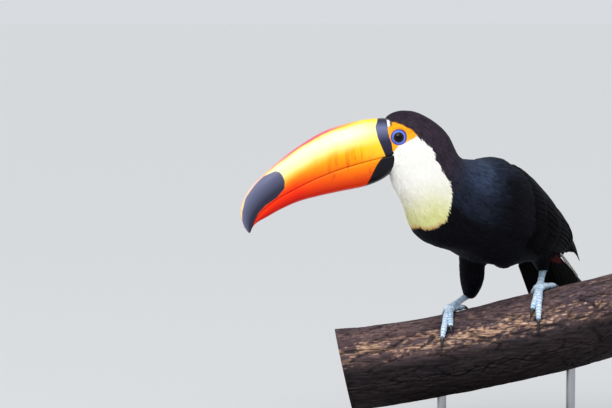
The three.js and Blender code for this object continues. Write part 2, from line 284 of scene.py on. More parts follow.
def loft(bm: BMesh, rings: int, sides: int, place: Place, marks: dict[str, Mark] | None = None,
         cell: Cell = WHOLE_MAP) -> None:
    """Adds a closed tube, made from a grid that is rolled up, welded and capped.

    Args:
        bm: The shape to add to.
        rings: Steps along the tube.
        sides: Steps round it.
        place: Gives the tube's places.
        marks: Numbers kept at each vertex for the materials, by name.
        cell: The part of the bake map that the tube fills.
    """
    maps, floats = bm.loops.layers.uv, bm.verts.layers.float
    layer = maps.get(BAKE_MAP) or maps.new(BAKE_MAP)
    kept = {name: floats.get(name) or floats.new(name) for name in marks or {}}
    before = set(bm.faces)
    made = bmesh.ops.create_grid(bm, x_segments=rings, y_segments=sides, size=0.5)["verts"]
    shares = {v: (min(max(v.co.x + 0.5, 0.0), 1.0), min(max(v.co.y + 0.5, 0.0), 1.0)) for v in made}
    for face in bm.faces:
        if face not in before:
            for corner in face.loops:
                u, v = shares[corner.vert]
                corner[layer].uv = (cell[0] + u * cell[2], cell[1] + v * cell[3])
    for v, (along, round_) in shares.items():
        v.co = place(along, round_ % 1.0)
        for name, mark in (marks or {}).items():
            v[kept[name]] = mark(along, round_, v.co)
    bmesh.ops.remove_doubles(bm, verts=made, dist=WELD)
    bmesh.ops.holes_fill(bm, edges=[e for e in bm.edges if e.is_boundary], sides=0)


class Station:
    """Numbers read smoothly between stations along a piece."""

    STEPS = 300

    def __init__(self, rows: Sequence[Sequence[float]]) -> None:
        """Reads a curve through the rows."""
        self.rows = smooth_curve(rows, self.STEPS)

    def __call__(self, share: float) -> Array:
        """Gives the row at a share from 0 to 1."""
        at = min(max(share, 0.0), 1.0) * (len(self.rows) - 1)
        low = min(int(at), len(self.rows) - 2)
        return self.rows[low] + (self.rows[low + 1] - self.rows[low]) * (at - low)


def tube(bm: BMesh, places: Sequence[Sequence[float]], radius: Callable[[float, float], float],
         rings: int, sides: int, side: Sequence[float], marks: dict[str, Mark],
         cell: Cell = WHOLE_MAP) -> None:
    """Adds a round limb that follows places.

    Args:
        bm: The shape to add to.
        places: The middle line.
        radius: Gives the radius at a share along it and a share round it, from the side that faces outwards.
        rings: Steps along the limb.
        sides: Steps round it.
        side: A direction that is never along the limb.
        marks: As in loft.
        cell: As in loft.
    """
    line, nearby = Station(places), 0.004

    def place(along: float, round_: float) -> Vector:
        """Gives a point of the limb's skin."""
        here = line(along)
        forward = unit(line(along + nearby) - line(along - nearby))
        across = unit(np.cross(forward, side))
        over = np.cross(across, forward)
        turn = tau * round_
        r = radius(along, round_)
        return Vector(here + (across * cos(turn) + over * sin(turn)) * r)

    loft(bm, rings, sides, place, marks, cell)


# ---- materials
# How each kind of node is used here: its type, its settings, the inputs that its values go to in turn, and
# the output that is read.
NODES: dict[str, tuple[str, dict[str, str], tuple[int | str, ...], int | str | None]] = {
    "shader": ("BsdfPrincipled", {}, ("Roughness", "IOR", "Metallic", "Sheen Weight", "Sheen Tint",
                                      "Specular IOR Level", "Coat Weight", "Coat Roughness",
                                      "Subsurface Weight", "Subsurface Scale"), 0),
    "output": ("OutputMaterial", {}, ("Surface",), None),
    "here": ("TexCoord", {}, (), "Object"),
    "mark": ("Attribute", {}, (), "Fac"),
    "turned": ("Mapping", {}, ("Vector", "Scale", "Rotation"), 0),
    "noise": ("TexNoise", {}, ("Vector", "Scale", "Detail", "Distortion", "Roughness"), 0),
    "cells": ("TexVoronoi", {"feature": "F1"}, ("Vector", "Scale"), "Distance"),
    "ramp": ("ValToRGB", {}, (0,), 0),
    "mix": ("Mix", {"data_type": "RGBA"}, (0, 6, 7), 2),
    "range": ("MapRange", {}, (0, 1, 2, 3, 4), 0),
    "bump": ("Bump", {}, ("Height", "Strength", "Distance"), 0),
    **{word: ("Math", {"operation": operation}, (0, 1), 0) for word, operation in (
        ("plus", "ADD"), ("minus", "SUBTRACT"), ("times", "MULTIPLY"), ("over", "DIVIDE"),
        ("size", "ABSOLUTE"), ("sine", "SINE"))},
}


@dataclass(frozen=True)
class Surface:
    """The settings that are the same all over one finish, in the order of the shader's inputs."""

    name: str
    roughness: float
    ior: float = 1.5
    metallic: float = 0.0
    sheen: float = 0.0
    sheen_tint: str = "#ffffff"
    specular: float = 0.5
    coat: float = 0.0
    coat_roughness: float = 0.1
    subsurface: float = 0.0
    subsurface_scale: float = 0.002


class Recipe:
    """A material in the making: its shader, and the nodes that draw its colour and relief."""

    def __init__(self, surface: Surface) -> None:
        """Makes the material with its shader.

        Args:
            surface: Its settings.
        """
        self.material = bpy.data.materials.new(surface.name)
        self.material.use_nodes = True
        self.tree = self.material.node_tree
        self.tree.nodes.clear()
        self.shader = self.add("shader", *astuple(surface)[1:]).node
        self.add("output", self.shader.outputs[0])

    def fill(self, node: bpy.types.Node, values: dict[int | str, object]) -> None:
        """Links and sets a node's inputs.

        Args:
            node: The node.
            values: Numbers, vectors, hex colours or other nodes' outputs, by input.
        """
        for key, value in values.items():
            if isinstance(value, bpy.types.NodeSocket):
                self.tree.links.new(value, node.inputs[key])
            else:
                node.inputs[key].default_value = hex_colour(value) if isinstance(value, str) else value

    def add(self, kind: str, *values: object, ramp: Sequence[tuple[float, str]] = (),
            **settings: object) -> bpy.types.NodeSocket | None:
        """Adds a node with its settings, values and links.

        Args:
            kind: A key of NODES.
            values: What its inputs take in turn, as in fill.
            ramp: A colour ramp's stops as (place, hex colour).
            settings: The node's own properties.

        Returns:
            The output that is read, if it has one.
        """
        type_name, always, inputs, output = NODES[kind]
        made = self.tree.nodes.new("ShaderNode" + type_name)
        for key, value in {**always, **settings}.items():
            setattr(made, key, value)
        self.fill(made, dict(zip(inputs, values)))
        if ramp:
            stops = made.color_ramp.elements
            while len(stops) < len(ramp):
                stops.new(1.0)
            for stop, (place, colour) in zip(stops, ramp):
                stop.position = place
                stop.color = hex_colour(colour)
        return None if output is None else made.outputs[output]

    def marks(self, *names: str) -> list[bpy.types.NodeSocket]:
        """Reads the numbers that the mesh carries under some names."""
        return [self.add("mark", attribute_name=name) for name in names]

    def layers(self, colour: object, *over: tuple[object, object]) -> bpy.types.NodeSocket:
        """Lays colours over a first one in turn.

        Args:
            colour: The first colour.
            over: Each next colour's share, and that colour.

        Returns:
            The mixed colour.
        """
        for share, upper in over:
            colour = self.add("mix", share, colour, upper)
        return colour

    def finish(self, colour: object, *relief: object, roughness: object = None) -> Material:
        """Gives the shader what varies over the surface.

        Args:
            colour: The base colour.
            relief: A height, how strongly it shows, and the metres that a height of 1 stands for.
            roughness: The roughness, where it varies.

        Returns:
            The material.
        """
        self.fill(self.shader, {"Base Color": colour})
        if relief:
            self.fill(self.shader, {"Normal": self.add("bump", *relief)})
        if roughness is not None:
            self.fill(self.shader, {"Roughness": roughness})
        return self.material


# ---- the body's own shape
class Sweep:
    """A body swept through stations, as the wings' bed is: angle 0 is its back and 90 its left side."""

    ROUNDNESS = 2.15  # the power of its superellipse section

    def __init__(self, stations: Sequence[Sequence[float]]) -> None:
        """Takes rows of place, yaw, pitch, and half sizes to the side, back and belly."""
        self.rows = Station(stations)

    def point(self, share: float, angle: float, out: float) -> Vector:
        """Gives a point of its surface.

        Args:
            share: How far along it, from 0 to 1.
            angle: Degrees round it from the back towards the left.
            out: Millimetres outside the surface.

        Returns:
            The point.
        """
        row = self.rows(share)
        turn = radians(angle)
        side, rise = sin(turn), cos(turn)
        full = (abs(side) ** self.ROUNDNESS + abs(rise) ** self.ROUNDNESS) ** (-1 / self.ROUNDNESS)
        height = row[6] if rise >= 0 else row[7]
        return Facing(tuple(row[:3]), row[3], row[4]).point(
            0, side * (row[5] + out) * full, rise * (height + out) * full)


@dataclass(frozen=True)
class LegPlan:
    """One leg: the thigh's middle line with its radii, the ankle, and the toes round the log."""

    side: str
    thigh: tuple[tuple[float, float, float, float], ...]
    ankle: Triple
    ball: Pair
    toes: tuple[Pair, ...]


LEGS = (
    LegPlan("right", ((-27, -12, 248, 19), (-29, 7, 214, 15.5), (-28.5, 20, 187, 14), (-30, 32, 167, 7.5)),
            (-32, 34, 168), (-49, -8), ((-20, -77), (-4.5, -58), (22, 27), (-10, 62))),
    LegPlan("left", ((32, 16, 248, 16), (40, 18, 232, 16), (46.5, 26, 213, 12), (50.5, 36, 196, 7.5)),
            (50.5, 36, 195), (51, -8), ((-14.5, -80), (-19, -57), (25, 30), (-9, 50))),
)


class Markings:
    """Where each colour of the plumage lies, as shares that the skin and every feather carry alike."""

    # The bib's edge on the left side: millimetres along the spine and degrees from the back.
    BIB_EDGE = [(-14, 72), (25, 68), (31, 67), (40, 70), (53, 80), (62, 83), (72, 90), (82, 102), (88, 112),
                (92, 123), (96, 135), (97, 151), (96, 161), (95, 167), (93, 179), (93, 200), (-14, 200)]
    DEGREE = 0.6  # millimetres round the throat for each degree
    # Outlines on the head, as millimetres forward and up in its own frame.
    CHEEK = [(-6, -0.5), (3, -2.3), (9.8, -3.7), (15.2, -4.3), (18.9, -6.6), (22, -9.6), (44, -9),
             (44, -60), (-6, -60)]
    BARE = [(34, 27), (21.5, 21.7), (14.9, 20.1), (8.8, 16.4), (2.9, 11.6), (-1.1, 7.2), (-5.2, -0.4),
            (3, -2.3), (9.8, -3.7), (15.2, -4.3), (18.9, -6.6), (22, -9.2), (34, -10)]
    TUFT = [(28.5, 25), (20.6, 24.2), (16.6, 21), (19.6, 16.8), (28.5, 13.8)]
    HEAD_END = (34, 26)  # where along the spine the head's outlines stop and start to count
    NAMES = ("bib", "low", "rim", "bare", "cap", "bloom", "vent")

    def __init__(self, spine: Spine) -> None:
        """Keeps the spine that the markings are measured along."""
        self.spine = spine

    def read(self, points: Array) -> dict[str, Array]:
        """Works out the shares of each colour at points.

        Args:
            points: Places in millimetres.

        Returns:
            An array for each of NAMES.
        """
        reach, angle, _ = self.spine.measure(points)
        turn = np.abs(angle)
        head = HEAD.inside(points)
        side_view = head[:, [0, 2]]
        ragged = np.array([noise.noise(Vector(p) * 0.35) for p in points]) * 0.9
        throat = edge_distance(np.stack([reach, turn * self.DEGREE], axis=1),
                               [(s, a * self.DEGREE) for s, a in self.BIB_EDGE])
        on_head = ease(reach, *self.HEAD_END)
        bare = ease(edge_distance(side_view, self.BARE), -0.4, 0.5) * on_head
        cheek = np.where(on_head > 0.5, edge_distance(side_view, self.CHEEK), -9)
        tuft = ease(edge_distance(side_view, self.TUFT), -0.5, 0.5) * on_head
        within = np.maximum(throat, cheek) + ragged * ease(reach, 20, 45)
        bib = np.maximum(ease(within, -0.7, 0.7), tuft)
        low = ease(reach, 54, 92) * (0.25 + 0.75 * ease(turn, 94, 142))
        rim = ease(within, 3.4, 0.2) * ease(reach, 76, 90) * ease(turn, 128, 152) * 0.85
        return {"bib": bib, "low": low, "rim": rim, "bare": bare * (1 - tuft), "cap": ease(reach, 96, 44),
                # painted sheen: a blue-grey tone on the mantle, the nape and the back, where light from above
                # catches the black feathers
                "bloom": ease(reach, 48, 88) * ease(reach, 146, 104) * (
                    0.3 * ease(turn, 122, 104) + 0.7 * ease(turn, 92, 52)) + 0.3 * (
                    ease(reach, 104, 116) * ease(reach, 172, 140) * ease(turn, 58, 30)),
                "vent": ease(reach, 252, 260) * ease(turn, 100, 118) * ease(points[:, 1], 46, 54)}


class Lie:
    """The way the feathers point over the body and down the legs."""

    def __init__(self, spine: Spine) -> None:
        """Reads the legs' lines beside the spine."""
        self.spine = spine
        self.legs = [smooth_curve(leg.thigh, 80) for leg in LEGS]

    def leg_share(self, points: Array) -> tuple[Array, Array]:
        """Says how far points belong to a leg, and the leg's direction there.

        Args:
            points: Places in millimetres.

        Returns:
            Each point's share, and its unit direction down the leg.
        """
        share, way = np.zeros(len(points)), np.zeros((len(points), 3))
        for line in self.legs:
            gaps = np.linalg.norm(points[:, None] - line[None, :, :3], axis=2) / line[None, :, 3]
            nearest = gaps.argmin(axis=1)
            here = ease(gaps.min(axis=1), 1.5, 1.12) * ease(nearest / len(line), 0.06, 0.3)
            down = unit(np.gradient(line[:, :3], axis=0))[nearest]
            way = np.where((here > share)[:, None], down, way)
            share = np.maximum(share, here)
        return share, way

    def direction(self, points: Array, normals: Array) -> Array:
        """Gives the unit direction that feathers rooted at points lie in, along the skin.

        Args:
            points: Places in millimetres.
            normals: The skin's normals there.

        Returns:
            Unit vectors.
        """
        _, _, back = self.spine.measure(points)
        share, down = self.leg_share(points)
        way = back * (1 - share[:, None]) + down * share[:, None]
        flat = way - normals * (way * normals).sum(axis=1, keepdims=True)
        return unit(flat)


class Skin:
    """One skin for the head, neck, trunk, thighs and upper arms, sunk by the coat's depth."""

    NODES = ("head", "neck", "trunk", "thigh_left", "thigh_right")
    VOXEL = 1.8
    SMOOTHING = 12
    GROWTH = 0.5  # how far the nodes grow, to close the cuts between them
    # The coat's depth by the place along the spine, and over the bare face.
    COAT = ((0, 12, 40, 75, 110, 160, 260), (0.4, 0.5, 0.7, 1.0, 1.4, 1.5, 1.4))
    BARE_DEPTH = 0.6
    # Where the flesh stands out or in from the nodes: the place, how far the change spreads, and its height.
    SHAPING = (((-57, -62, 341), 16, 1.9), ((-38, -30, 320), 12, 1.7), ((-116, -60, 298), 16, 2.2),
               ((-99, -50, 250), 14, 1.2), ((-120, -64, 371), 10, 1.2), ((4, -11, 318), 18, 1.8),
               ((-47, -22, 219), 12, 2.0), ((-14, -11, 202), 12, -6.5), ((2, -11, 202), 9, 2.6))
    # The same for the eyes' sockets, with the side in place of the place.
    SOCKET_AT = (13.7, 24, 3.6)
    SOCKETS = ((1, 7.5, -2.4), (-1, 7.5, -2.4), (-1, 10.5, -2.8))

    def __init__(self, markings: Markings, lie: Lie) -> None:
        """Keeps what marks the skin and what combs it."""
        self.markings = markings
        self.lie = lie

    def build(self, additions: Sequence[Callable[[BMesh], None]], material: Material) -> Piece:
        """Joins the flesh into one smooth skin.

        Args:
            additions: Each adds flesh that the nodes lack, in millimetres.
            material: The skin's material.

        Returns:
            The skin piece.
        """
        bm = bmesh.new()
        for node in self.NODES:
            bm.from_mesh(bpy.data.objects[node].data)
        bmesh.ops.remove_doubles(bm, verts=bm.verts[:], dist=1e-6)
        bmesh.ops.scale(bm, vec=(1 / MM,) * 3, verts=bm.verts[:])
        bm.normal_update()
        for v in bm.verts:
            v.co += v.normal * self.GROWTH
        for add in additions:
            add(bm)
        mesh = finish_mesh(bm, "skin", outward=False)
        draft = in_scene("draft", mesh)
        remesh = draft.modifiers.new("one skin", "REMESH")
        remesh.mode = "VOXEL"
        remesh.voxel_size = self.VOXEL * MM
        evaluated = draft.evaluated_get(bpy.context.evaluated_depsgraph_get())
        whole = bpy.data.meshes.new_from_object(evaluated)
        bpy.data.objects.remove(draft)
        bm = bmesh.new()
        bm.from_mesh(whole)
        for _ in range(self.SMOOTHING):
            bmesh.ops.smooth_vert(bm, verts=bm.verts[:], factor=0.5, use_axis_x=True, use_axis_y=True,
                                  use_axis_z=True)
        bm.to_mesh(whole)
        bm.free()
        self.sink(whole)
        whole.name = "skin"
        replaced = self.NODES + ("wing_left", "wing_right")
        piece = put_object("skin", whole, material, replaced)
        self.unwrap(piece)
        return piece

    def sink(self, mesh: Mesh) -> None:
        """Moves the skin in by the coat's depth at each place, and stores the markings.

        Args:
            mesh: The skin's mesh, in metres.
        """
        places, normals = vertex_places(mesh), vertex_normals(mesh)
        reach, _, _ = self.lie.spine.measure(places)
        marks = self.markings.read(places)
        depth = np.interp(reach, *self.COAT) + self.GROWTH
        depth = np.where(marks["bare"] > 0.5, self.BARE_DEPTH, depth)
        x, y, z = self.SOCKET_AT
        sockets = tuple((HEAD.point(x, y * side, z), wide, rise) for side, wide, rise in self.SOCKETS)
        for place, wide, rise in self.SHAPING + sockets:
            depth = depth - rise * np.exp(-(np.linalg.norm(places - place, axis=1) / wide) ** 2)
        places -= normals * depth[:, None]
        mesh.vertices.foreach_set("co", (places * MM).ravel())
        mesh.update()
        for name, values in self.markings.read(vertex_places(mesh)).items():
            put_attribute(mesh, name, values)
        put_attribute(mesh, "tone", np.full(len(places), 0.3))

    def unwrap(self, piece: Piece) -> None:
        """Unwraps the skin by its own shape for the bake map.

        Args:
            piece: The skin.
        """
        piece.data.uv_layers.new(name=BAKE_MAP)
        bpy.context.view_layer.objects.active = piece
        piece.select_set(True)
        bpy.ops.object.mode_set(mode="EDIT")
        bpy.ops.mesh.select_all(action="SELECT")
        bpy.ops.uv.smart_project(angle_limit=radians(66), island_margin=0.004)
        bpy.ops.object.mode_set(mode="OBJECT")
        piece.select_set(False)


# ---- the coat of small feathers
@dataclass(frozen=True)
class FeatherCut:
    """One region's small feathers, in millimetres."""

    spacing: float
    length: float
    width: float
    lift: float
    rings: tuple[float, ...] = (0.0, 0.34, 0.68)


class Region(Enum):
    """The parts of the coat, each with its own cut of feather."""

    FACE = FeatherCut(0.85, 3.0, 0.8, 0.25)
    CAP = FeatherCut(1.1, 5.5, 1.3, 0.35)
    BIB = FeatherCut(0.95, 5.5, 0.85, 0.3)
    NAPE = FeatherCut(1.5, 9.0, 2.4, 0.5)
    MANTLE = FeatherCut(2.4, 15.0, 6.4, 0.7, (0.0, 0.3, 0.6, 0.86))
    UNDERPARTS = FeatherCut(2.1, 13.0, 4.6, 0.8, (0.0, 0.3, 0.6, 0.86))
    THIGHS = FeatherCut(1.6, 10.0, 2.6, 0.9)


class Coat:
    """The small feathers: thin closed vanes that overlap and lie along the skin."""

    WIDTH_AT = ((0.0, 0.3, 0.6, 0.86), (0.45, 0.92, 1.0, 0.66))  # shares of the length, and widths there
    CROWDING = 7.0  # how many places are tried for each one kept
    ROUND = 0.3  # how far a vane's shading turns to its sides
    AHEAD = 3.0  # how far past its root a vane takes its colour from, since that is the part that shows
    BOUNDS = (16, 52, 92)  # where along the spine the cap, the nape and the body start
    FLANK = 95  # degrees from the back to where the underparts start
    STRAY = 0.14  # how far vanes turn aside at random
    ROOT_DEPTH = 0.4
    PROBE_BACK, PROBE_REACH = 2.0, 16.0  # how far rays start under the skin and run, to find larger feathers

    def __init__(self, skin: Piece, markings: Markings, lie: Lie, covers: BVHTree) -> None:
        """Reads the skin.

        Args:
            skin: The skin piece.
            markings: The plumage's colours.
            lie: The way the feathers point.
            covers: The larger feathers, whose hidden ground stays bare.
        """
        self.markings, self.lie, self.covers = markings, lie, covers
        mesh = skin.data
        mesh.calc_loop_triangles()
        self.places, self.normals = vertex_places(mesh), vertex_normals(mesh)
        count = len(mesh.loop_triangles)
        self.corners, loops = np.empty(count * 3, int), np.empty(count * 3, int)
        mesh.loop_triangles.foreach_get("vertices", self.corners)
        mesh.loop_triangles.foreach_get("loops", loops)
        self.corners = self.corners.reshape(-1, 3)
        layer = np.empty(len(mesh.loops) * 2)
        mesh.uv_layers[BAKE_MAP].data.foreach_get("uv", layer)
        self.map = layer.reshape(-1, 2)[loops.reshape(-1, 3)]
        a, b, c = (self.places[self.corners[:, k]] for k in range(3))
        self.areas = np.linalg.norm(np.cross(b - a, c - a), axis=1) / 2
        self.tree = BVHTree.FromPolygons([Vector(p) for p in self.places], self.corners.tolist())

    def scatter(self, within: Array, spacing: float) -> tuple[Array, Array, Array]:
        """Picks well-spaced roots on some of the skin's triangles.

        Args:
            within: A share from 0 to 1 for each triangle, which is how likely it is to take a root.
            spacing: The least distance between two roots.

        Returns:
            The roots' places, skin normals and places on the bake map.
        """
        weights = self.areas * within
        count = int(weights.sum() / spacing ** 2 * self.CROWDING)
        picked = RNG.choice(len(weights), count, p=weights / weights.sum())
        u, v = RNG.random(count), RNG.random(count)
        folded = u + v > 1
        u, v = np.where(folded, 1 - u, u), np.where(folded, 1 - v, v)
        shares = np.stack([1 - u - v, u, v], axis=1)[:, :, None]
        places = (self.places[self.corners[picked]] * shares).sum(axis=1)
        normals = unit((self.normals[self.corners[picked]] * shares).sum(axis=1))
        spots = (self.map[picked] * shares).sum(axis=1)
        taken: dict[tuple[int, int, int], list[Triple]] = {}
        kept = []
        steps = [(i, j, k) for i in (0, -1, 1) for j in (0, -1, 1) for k in (0, -1, 1)]
        limit = spacing ** 2
        cells = np.floor(places / spacing).astype(int).tolist()
        for i, (p, (cx, cy, cz)) in enumerate(zip(places.tolist(), cells)):
            near = (q for dx, dy, dz in steps for q in taken.get((cx + dx, cy + dy, cz + dz), ()))
            if all((p[0] - q[0]) ** 2 + (p[1] - q[1]) ** 2 + (p[2] - q[2]) ** 2 >= limit for q in near):
                taken.setdefault((cx, cy, cz), []).append(p)
                kept.append(i)
        return places[kept], normals[kept], spots[kept]

    def regions(self) -> dict[Region, Array]:
        """Says which of the skin's triangles belong to each region, by a share from 0 to 1.

        Returns:
            Each region's shares, one for each triangle.
        """
        middles = self.places[self.corners].mean(axis=1)
        reach, _, _ = self.lie.spine.measure(middles)
        facing = unit(self.normals[self.corners].mean(axis=1))
        ahead = middles + self.lie.direction(middles, facing) * self.AHEAD
        _, angle, _ = self.lie.spine.measure(ahead)
        marks = self.markings.read(middles)
        leg, _ = self.lie.leg_share(middles)
        feathered = 1 - ease(marks["bare"], 0.1, 0.6)
        above = np.abs(angle) < self.FLANK
        bib = (self.markings.read(ahead)["bib"] > 0.5) & (leg < 0.5)
        rest = ~bib & (leg < 0.5)
        face, crown, body = self.BOUNDS
        return {
            Region.FACE: feathered * ((reach < face) & (bib | rest)),
            Region.CAP: feathered * (rest & (reach >= face) & (reach < crown)),
            Region.BIB: feathered * (bib & (reach >= face)),
            Region.NAPE: 1.0 * (rest & (reach >= crown) & (reach < body)),
            Region.MANTLE: 1.0 * (rest & (reach >= body) & above),
            Region.UNDERPARTS: 1.0 * (rest & (reach >= body) & ~above),
            Region.THIGHS: 1.0 * (leg >= 0.5),
        }

    def covered(self, place: Array, up: Array) -> bool:
        """Says whether a larger feather lies over a place.

        Args:
            place: The place.
            up: The way out of the skin there.

        Returns:
            Whether a ray out of the skin meets one.
        """
        way = Vector(up)
        start = Vector(place) - way * self.PROBE_BACK
        return self.covers.ray_cast(start, way, self.PROBE_REACH)[0] is not None

    def build(self, material: Material) -> None:
        """Makes a piece for each region, with normals that follow the skin so that the coat shades softly.

        Args:
            material: The plumage's.
        """
        for region, within in self.regions().items():
            cut = region.value
            places, normals, spots = self.scatter(within, cut.spacing)
            ways = self.lie.direction(places, normals)
            shown = np.array([not (self.covered(p, n) and self.covered(p + w * cut.length * 0.4, n))
                              for p, n, w in zip(places, normals, ways)])
            mesh, shading = self.vanes(region, places[shown], normals[shown], ways[shown], spots[shown])
            name = "coat_" + region.name.lower()
            mesh.name = name
            put_object(name, mesh, material)
            mesh.normals_split_custom_set_from_vertices(shading)

    def vanes(self, region: Region, roots: Array, normals: Array, ways: Array,
              spots: Array) -> tuple[Mesh, Array]:
        """Makes one joined mesh of vanes from arrays.

        Args:
            region: The region, which sets their sizes.
            roots: Where each vane grows.
            normals: The skin's normals there.
            ways: The directions they lie in.
            spots: Their places on the bake map.

        Returns:
            The mesh, in metres, with its markings and bake map, and the normals to shade it by.
        """
        count, cut = len(roots), region.value
        length = cut.length * (0.8 + 0.4 * RNG.random(count))
        turned = unit(ways + np.cross(normals, ways) * RNG.normal(0, self.STRAY, count)[:, None])
        middle, tip, middle_up, tip_up = (np.empty((count, 3)) for _ in range(4))
        for i in range(count):
            start, way = Vector(roots[i]), Vector(turned[i]) * length[i]
            place, up, _, _ = self.tree.find_nearest(start + way * 0.5)
            middle[i], middle_up[i] = place, up
            place, up, _, _ = self.tree.find_nearest(place + way * 0.5)
            tip[i], tip_up[i] = place, up
        middle_up, tip_up = unit(middle_up + normals), unit(tip_up + middle_up)
        lift = cut.lift * (0.7 + 0.6 * RNG.random(count))[:, None]
        start = roots - normals * self.ROOT_DEPTH
        middle = middle + middle_up * (lift * 0.85 + 0.15)
        tip = tip + tip_up * (lift * 1.1 + 0.1)
        width = cut.width * (0.85 + 0.3 * RNG.random(count))[:, None]
        rows, shading = [], []
        for t in (*cut.rings, 1.0):  # a parabola from the root through the middle to the tip
            here = start * (2 * t - 1) * (t - 1) + middle * 4 * t * (1 - t) + tip * t * (2 * t - 1)
            along = unit(start * (4 * t - 3) + middle * (4 - 8 * t) + tip * (4 * t - 1))
            up = unit(normals * (1 - t) + tip_up * t)
            across = unit(np.cross(up, along))
            half = width / 2 * np.interp(t, *self.WIDTH_AT)
            if t == 1.0:
                rows.append(here)
                shading.append(up)
            else:
                droop = half * 0.12
                rows += [here - across * half - up * droop, here + up * (half * 0.08 + 0.07),
                         here + across * half - up * droop]
                shading += [up - across * self.ROUND, up, up + across * self.ROUND]
        points = np.stack(rows, axis=1)
        per = points.shape[1]
        rings = len(cut.rings)
        faces = [(3 * k + i, 3 * k + 3 + i, 3 * k + 3 + (i + 1) % 3, 3 * k + (i + 1) % 3)
                 for k in range(rings - 1) for i in range(3)]
        faces += [(3 * rings - 3 + i, per - 1, 3 * rings - 3 + (i + 1) % 3) for i in range(3)] + [(0, 1, 2)]
        across_at = np.array([-1.0, 0.0, 1.0] * rings + [0.0])
        along_at = np.array([s for s in cut.rings for _ in range(3)] + [1.0])
        mesh = self.joined(points, faces, across_at, along_at, spots)
        marks = self.markings.read(roots + turned * self.AHEAD)
        marks["bib"] = (marks["bib"] > 0.5) * (region in (Region.BIB, Region.FACE))
        marks["bare"] = np.zeros(count)
        for name, values in marks.items():
            put_attribute(mesh, name, np.repeat(values, per))
        put_attribute(mesh, "tone", np.repeat(RNG.random(count), per))
        put_attribute(mesh, "across", np.tile(across_at, count))
        put_attribute(mesh, "along", np.tile(along_at, count))
        return mesh, unit(np.stack(shading, axis=1)).reshape(-1, 3)

    @staticmethod
    def joined(points: Array, faces: list[tuple[int, ...]], across: Array, along: Array,
               spots: Array) -> Mesh:
        """Joins copies of one vane's faces, since an operator would take minutes over so many.

        Args:
            points: A row of points for each vane, in millimetres.
            faces: One vane's faces, as numbers in its row.
            across: Where each of its points lies across it, from -1 to 1.
            along: Where each lies along it, from 0 to 1.
            spots: Each vane's place on the bake map.

        Returns:
            The mesh, in metres.
        """
        count, per = points.shape[:2]
        pattern = np.array([i for face in faces for i in face])
        sizes = np.array([len(face) for face in faces])
        loops = (pattern[None, :] + np.arange(count)[:, None] * per).ravel()
        totals = np.tile(sizes, count)
        mesh = bpy.data.meshes.new("coat")
        mesh.vertices.add(count * per)
        mesh.vertices.foreach_set("co", (points * MM).ravel())
        mesh.loops.add(len(loops))
        mesh.loops.foreach_set("vertex_index", loops.astype(np.int32))
        mesh.polygons.add(len(totals))
        starts = np.concatenate([[0], np.cumsum(totals)[:-1]])
        mesh.polygons.foreach_set("loop_start", starts.astype(np.int32))
        mesh.update(calc_edges=True)
        offsets = np.stack([across / 2, along - 0.5], axis=1) * PATCH
        layer = mesh.uv_layers.new(name=BAKE_MAP)
        layer.data.foreach_set("uv", (spots[:, None] + offsets[pattern][None]).ravel())
        return mesh


# ---- wings and tail
@dataclass(frozen=True)
class FeatherRow:
    """A row of large feathers on the folded wing.

    Roots and tips run evenly between two places on the wing, each a share from wrist to tip and from the back
    edge to the lower edge. Widths and heights are millimetres.
    """

    count: int
    roots: tuple[Pair, Pair]
    tips: tuple[Pair, Pair]
    width: float
    heights: Pair
    stagger: float  # how much higher each next feather lies
    blunt: float = 0.78


def feather(bm: BMesh, places: Array, across: Array, up: Array, width: float, thickness: float,
            index: int, blunt: float, droop: float) -> None:
    """Adds one large feather as a thin closed vane along a line.

    Args:
        bm: The shape to add to.
        places: The shaft's places, from root to tip.
        across: Unit directions across the vane at each.
        up: Unit directions out of it.
        width: The vane's greatest width.
        thickness: Its thickness at the shaft.
        index: Its number in its piece, which picks its cell of the bake map.
        blunt: The share of its length where the tip starts to round off.
        droop: How fast the vane's edges fall with the square of their distance from the shaft.
    """
    rings = len(places) - 1
    tone = RNG.random()  # sets it apart from its neighbours

    def place(along: float, round_: float) -> Vector:
        """Gives a point of the vane."""
        k = min(int(round(along * rings)), rings)
        share = k / rings
        tip = max(0.0, (share - blunt) / (1 - blunt))
        swell = min(1.0, 0.22 + share / 0.2) * sqrt(max(0.0, 1 - tip ** 2.4))
        turn = tau * round_
        out = cos(turn) * width / 2 * swell
        high = sin(turn) * thickness / 2 * (1 - 0.55 * abs(cos(turn))) - droop * out * out
        return Vector(places[k] + across[k] * out + up[k] * high)

    def facing(axis: int) -> Mark:
        """Gives one part of the direction that the vane's upper side is shaded by, or 0 below."""
        def part(along: float, round_: float, _: Vector) -> float:
            """Reads it at a point."""
            k, turn = min(int(round(along * rings)), rings), tau * round_
            if sin(turn) <= -0.01:
                return 0.0
            return float(up[k][axis] + across[k][axis] * 0.22 * cos(turn))
        return part

    loft(bm, rings, 12, place, {
        **{f"facing_{axis}": facing(axis) for axis in range(3)},
        "across": lambda along, round_, _: cos(tau * round_),
        "along": lambda along, round_, _: along,
        "tone": lambda along, round_, _: tone,
    }, cell_of(index))


def shade_by_shafts(piece: Piece) -> Piece:
    """Shades large feathers by the way their shafts face, so that a row of them reads as one surface.

    Args:
        piece: The feathers, with the attributes that feather keeps, which are removed.

    Returns:
        The piece.
    """
    mesh = piece.data
    column, facing = np.empty(len(mesh.vertices)), []
    for axis in range(3):
        layer = mesh.attributes[f"facing_{axis}"]
        layer.data.foreach_get("value", column)
        facing.append(column.copy())
        mesh.attributes.remove(layer)
    mesh.normals_split_custom_set_from_vertices(unit(np.stack(facing, axis=1)))
    return piece


def cell_of(index: int, columns: int = 12) -> Cell:
    """Gives the cell of a feather or a toe on the bake map."""
    return (index % columns) / columns, (index // columns) / columns, 0.96 / columns, 0.96 / columns


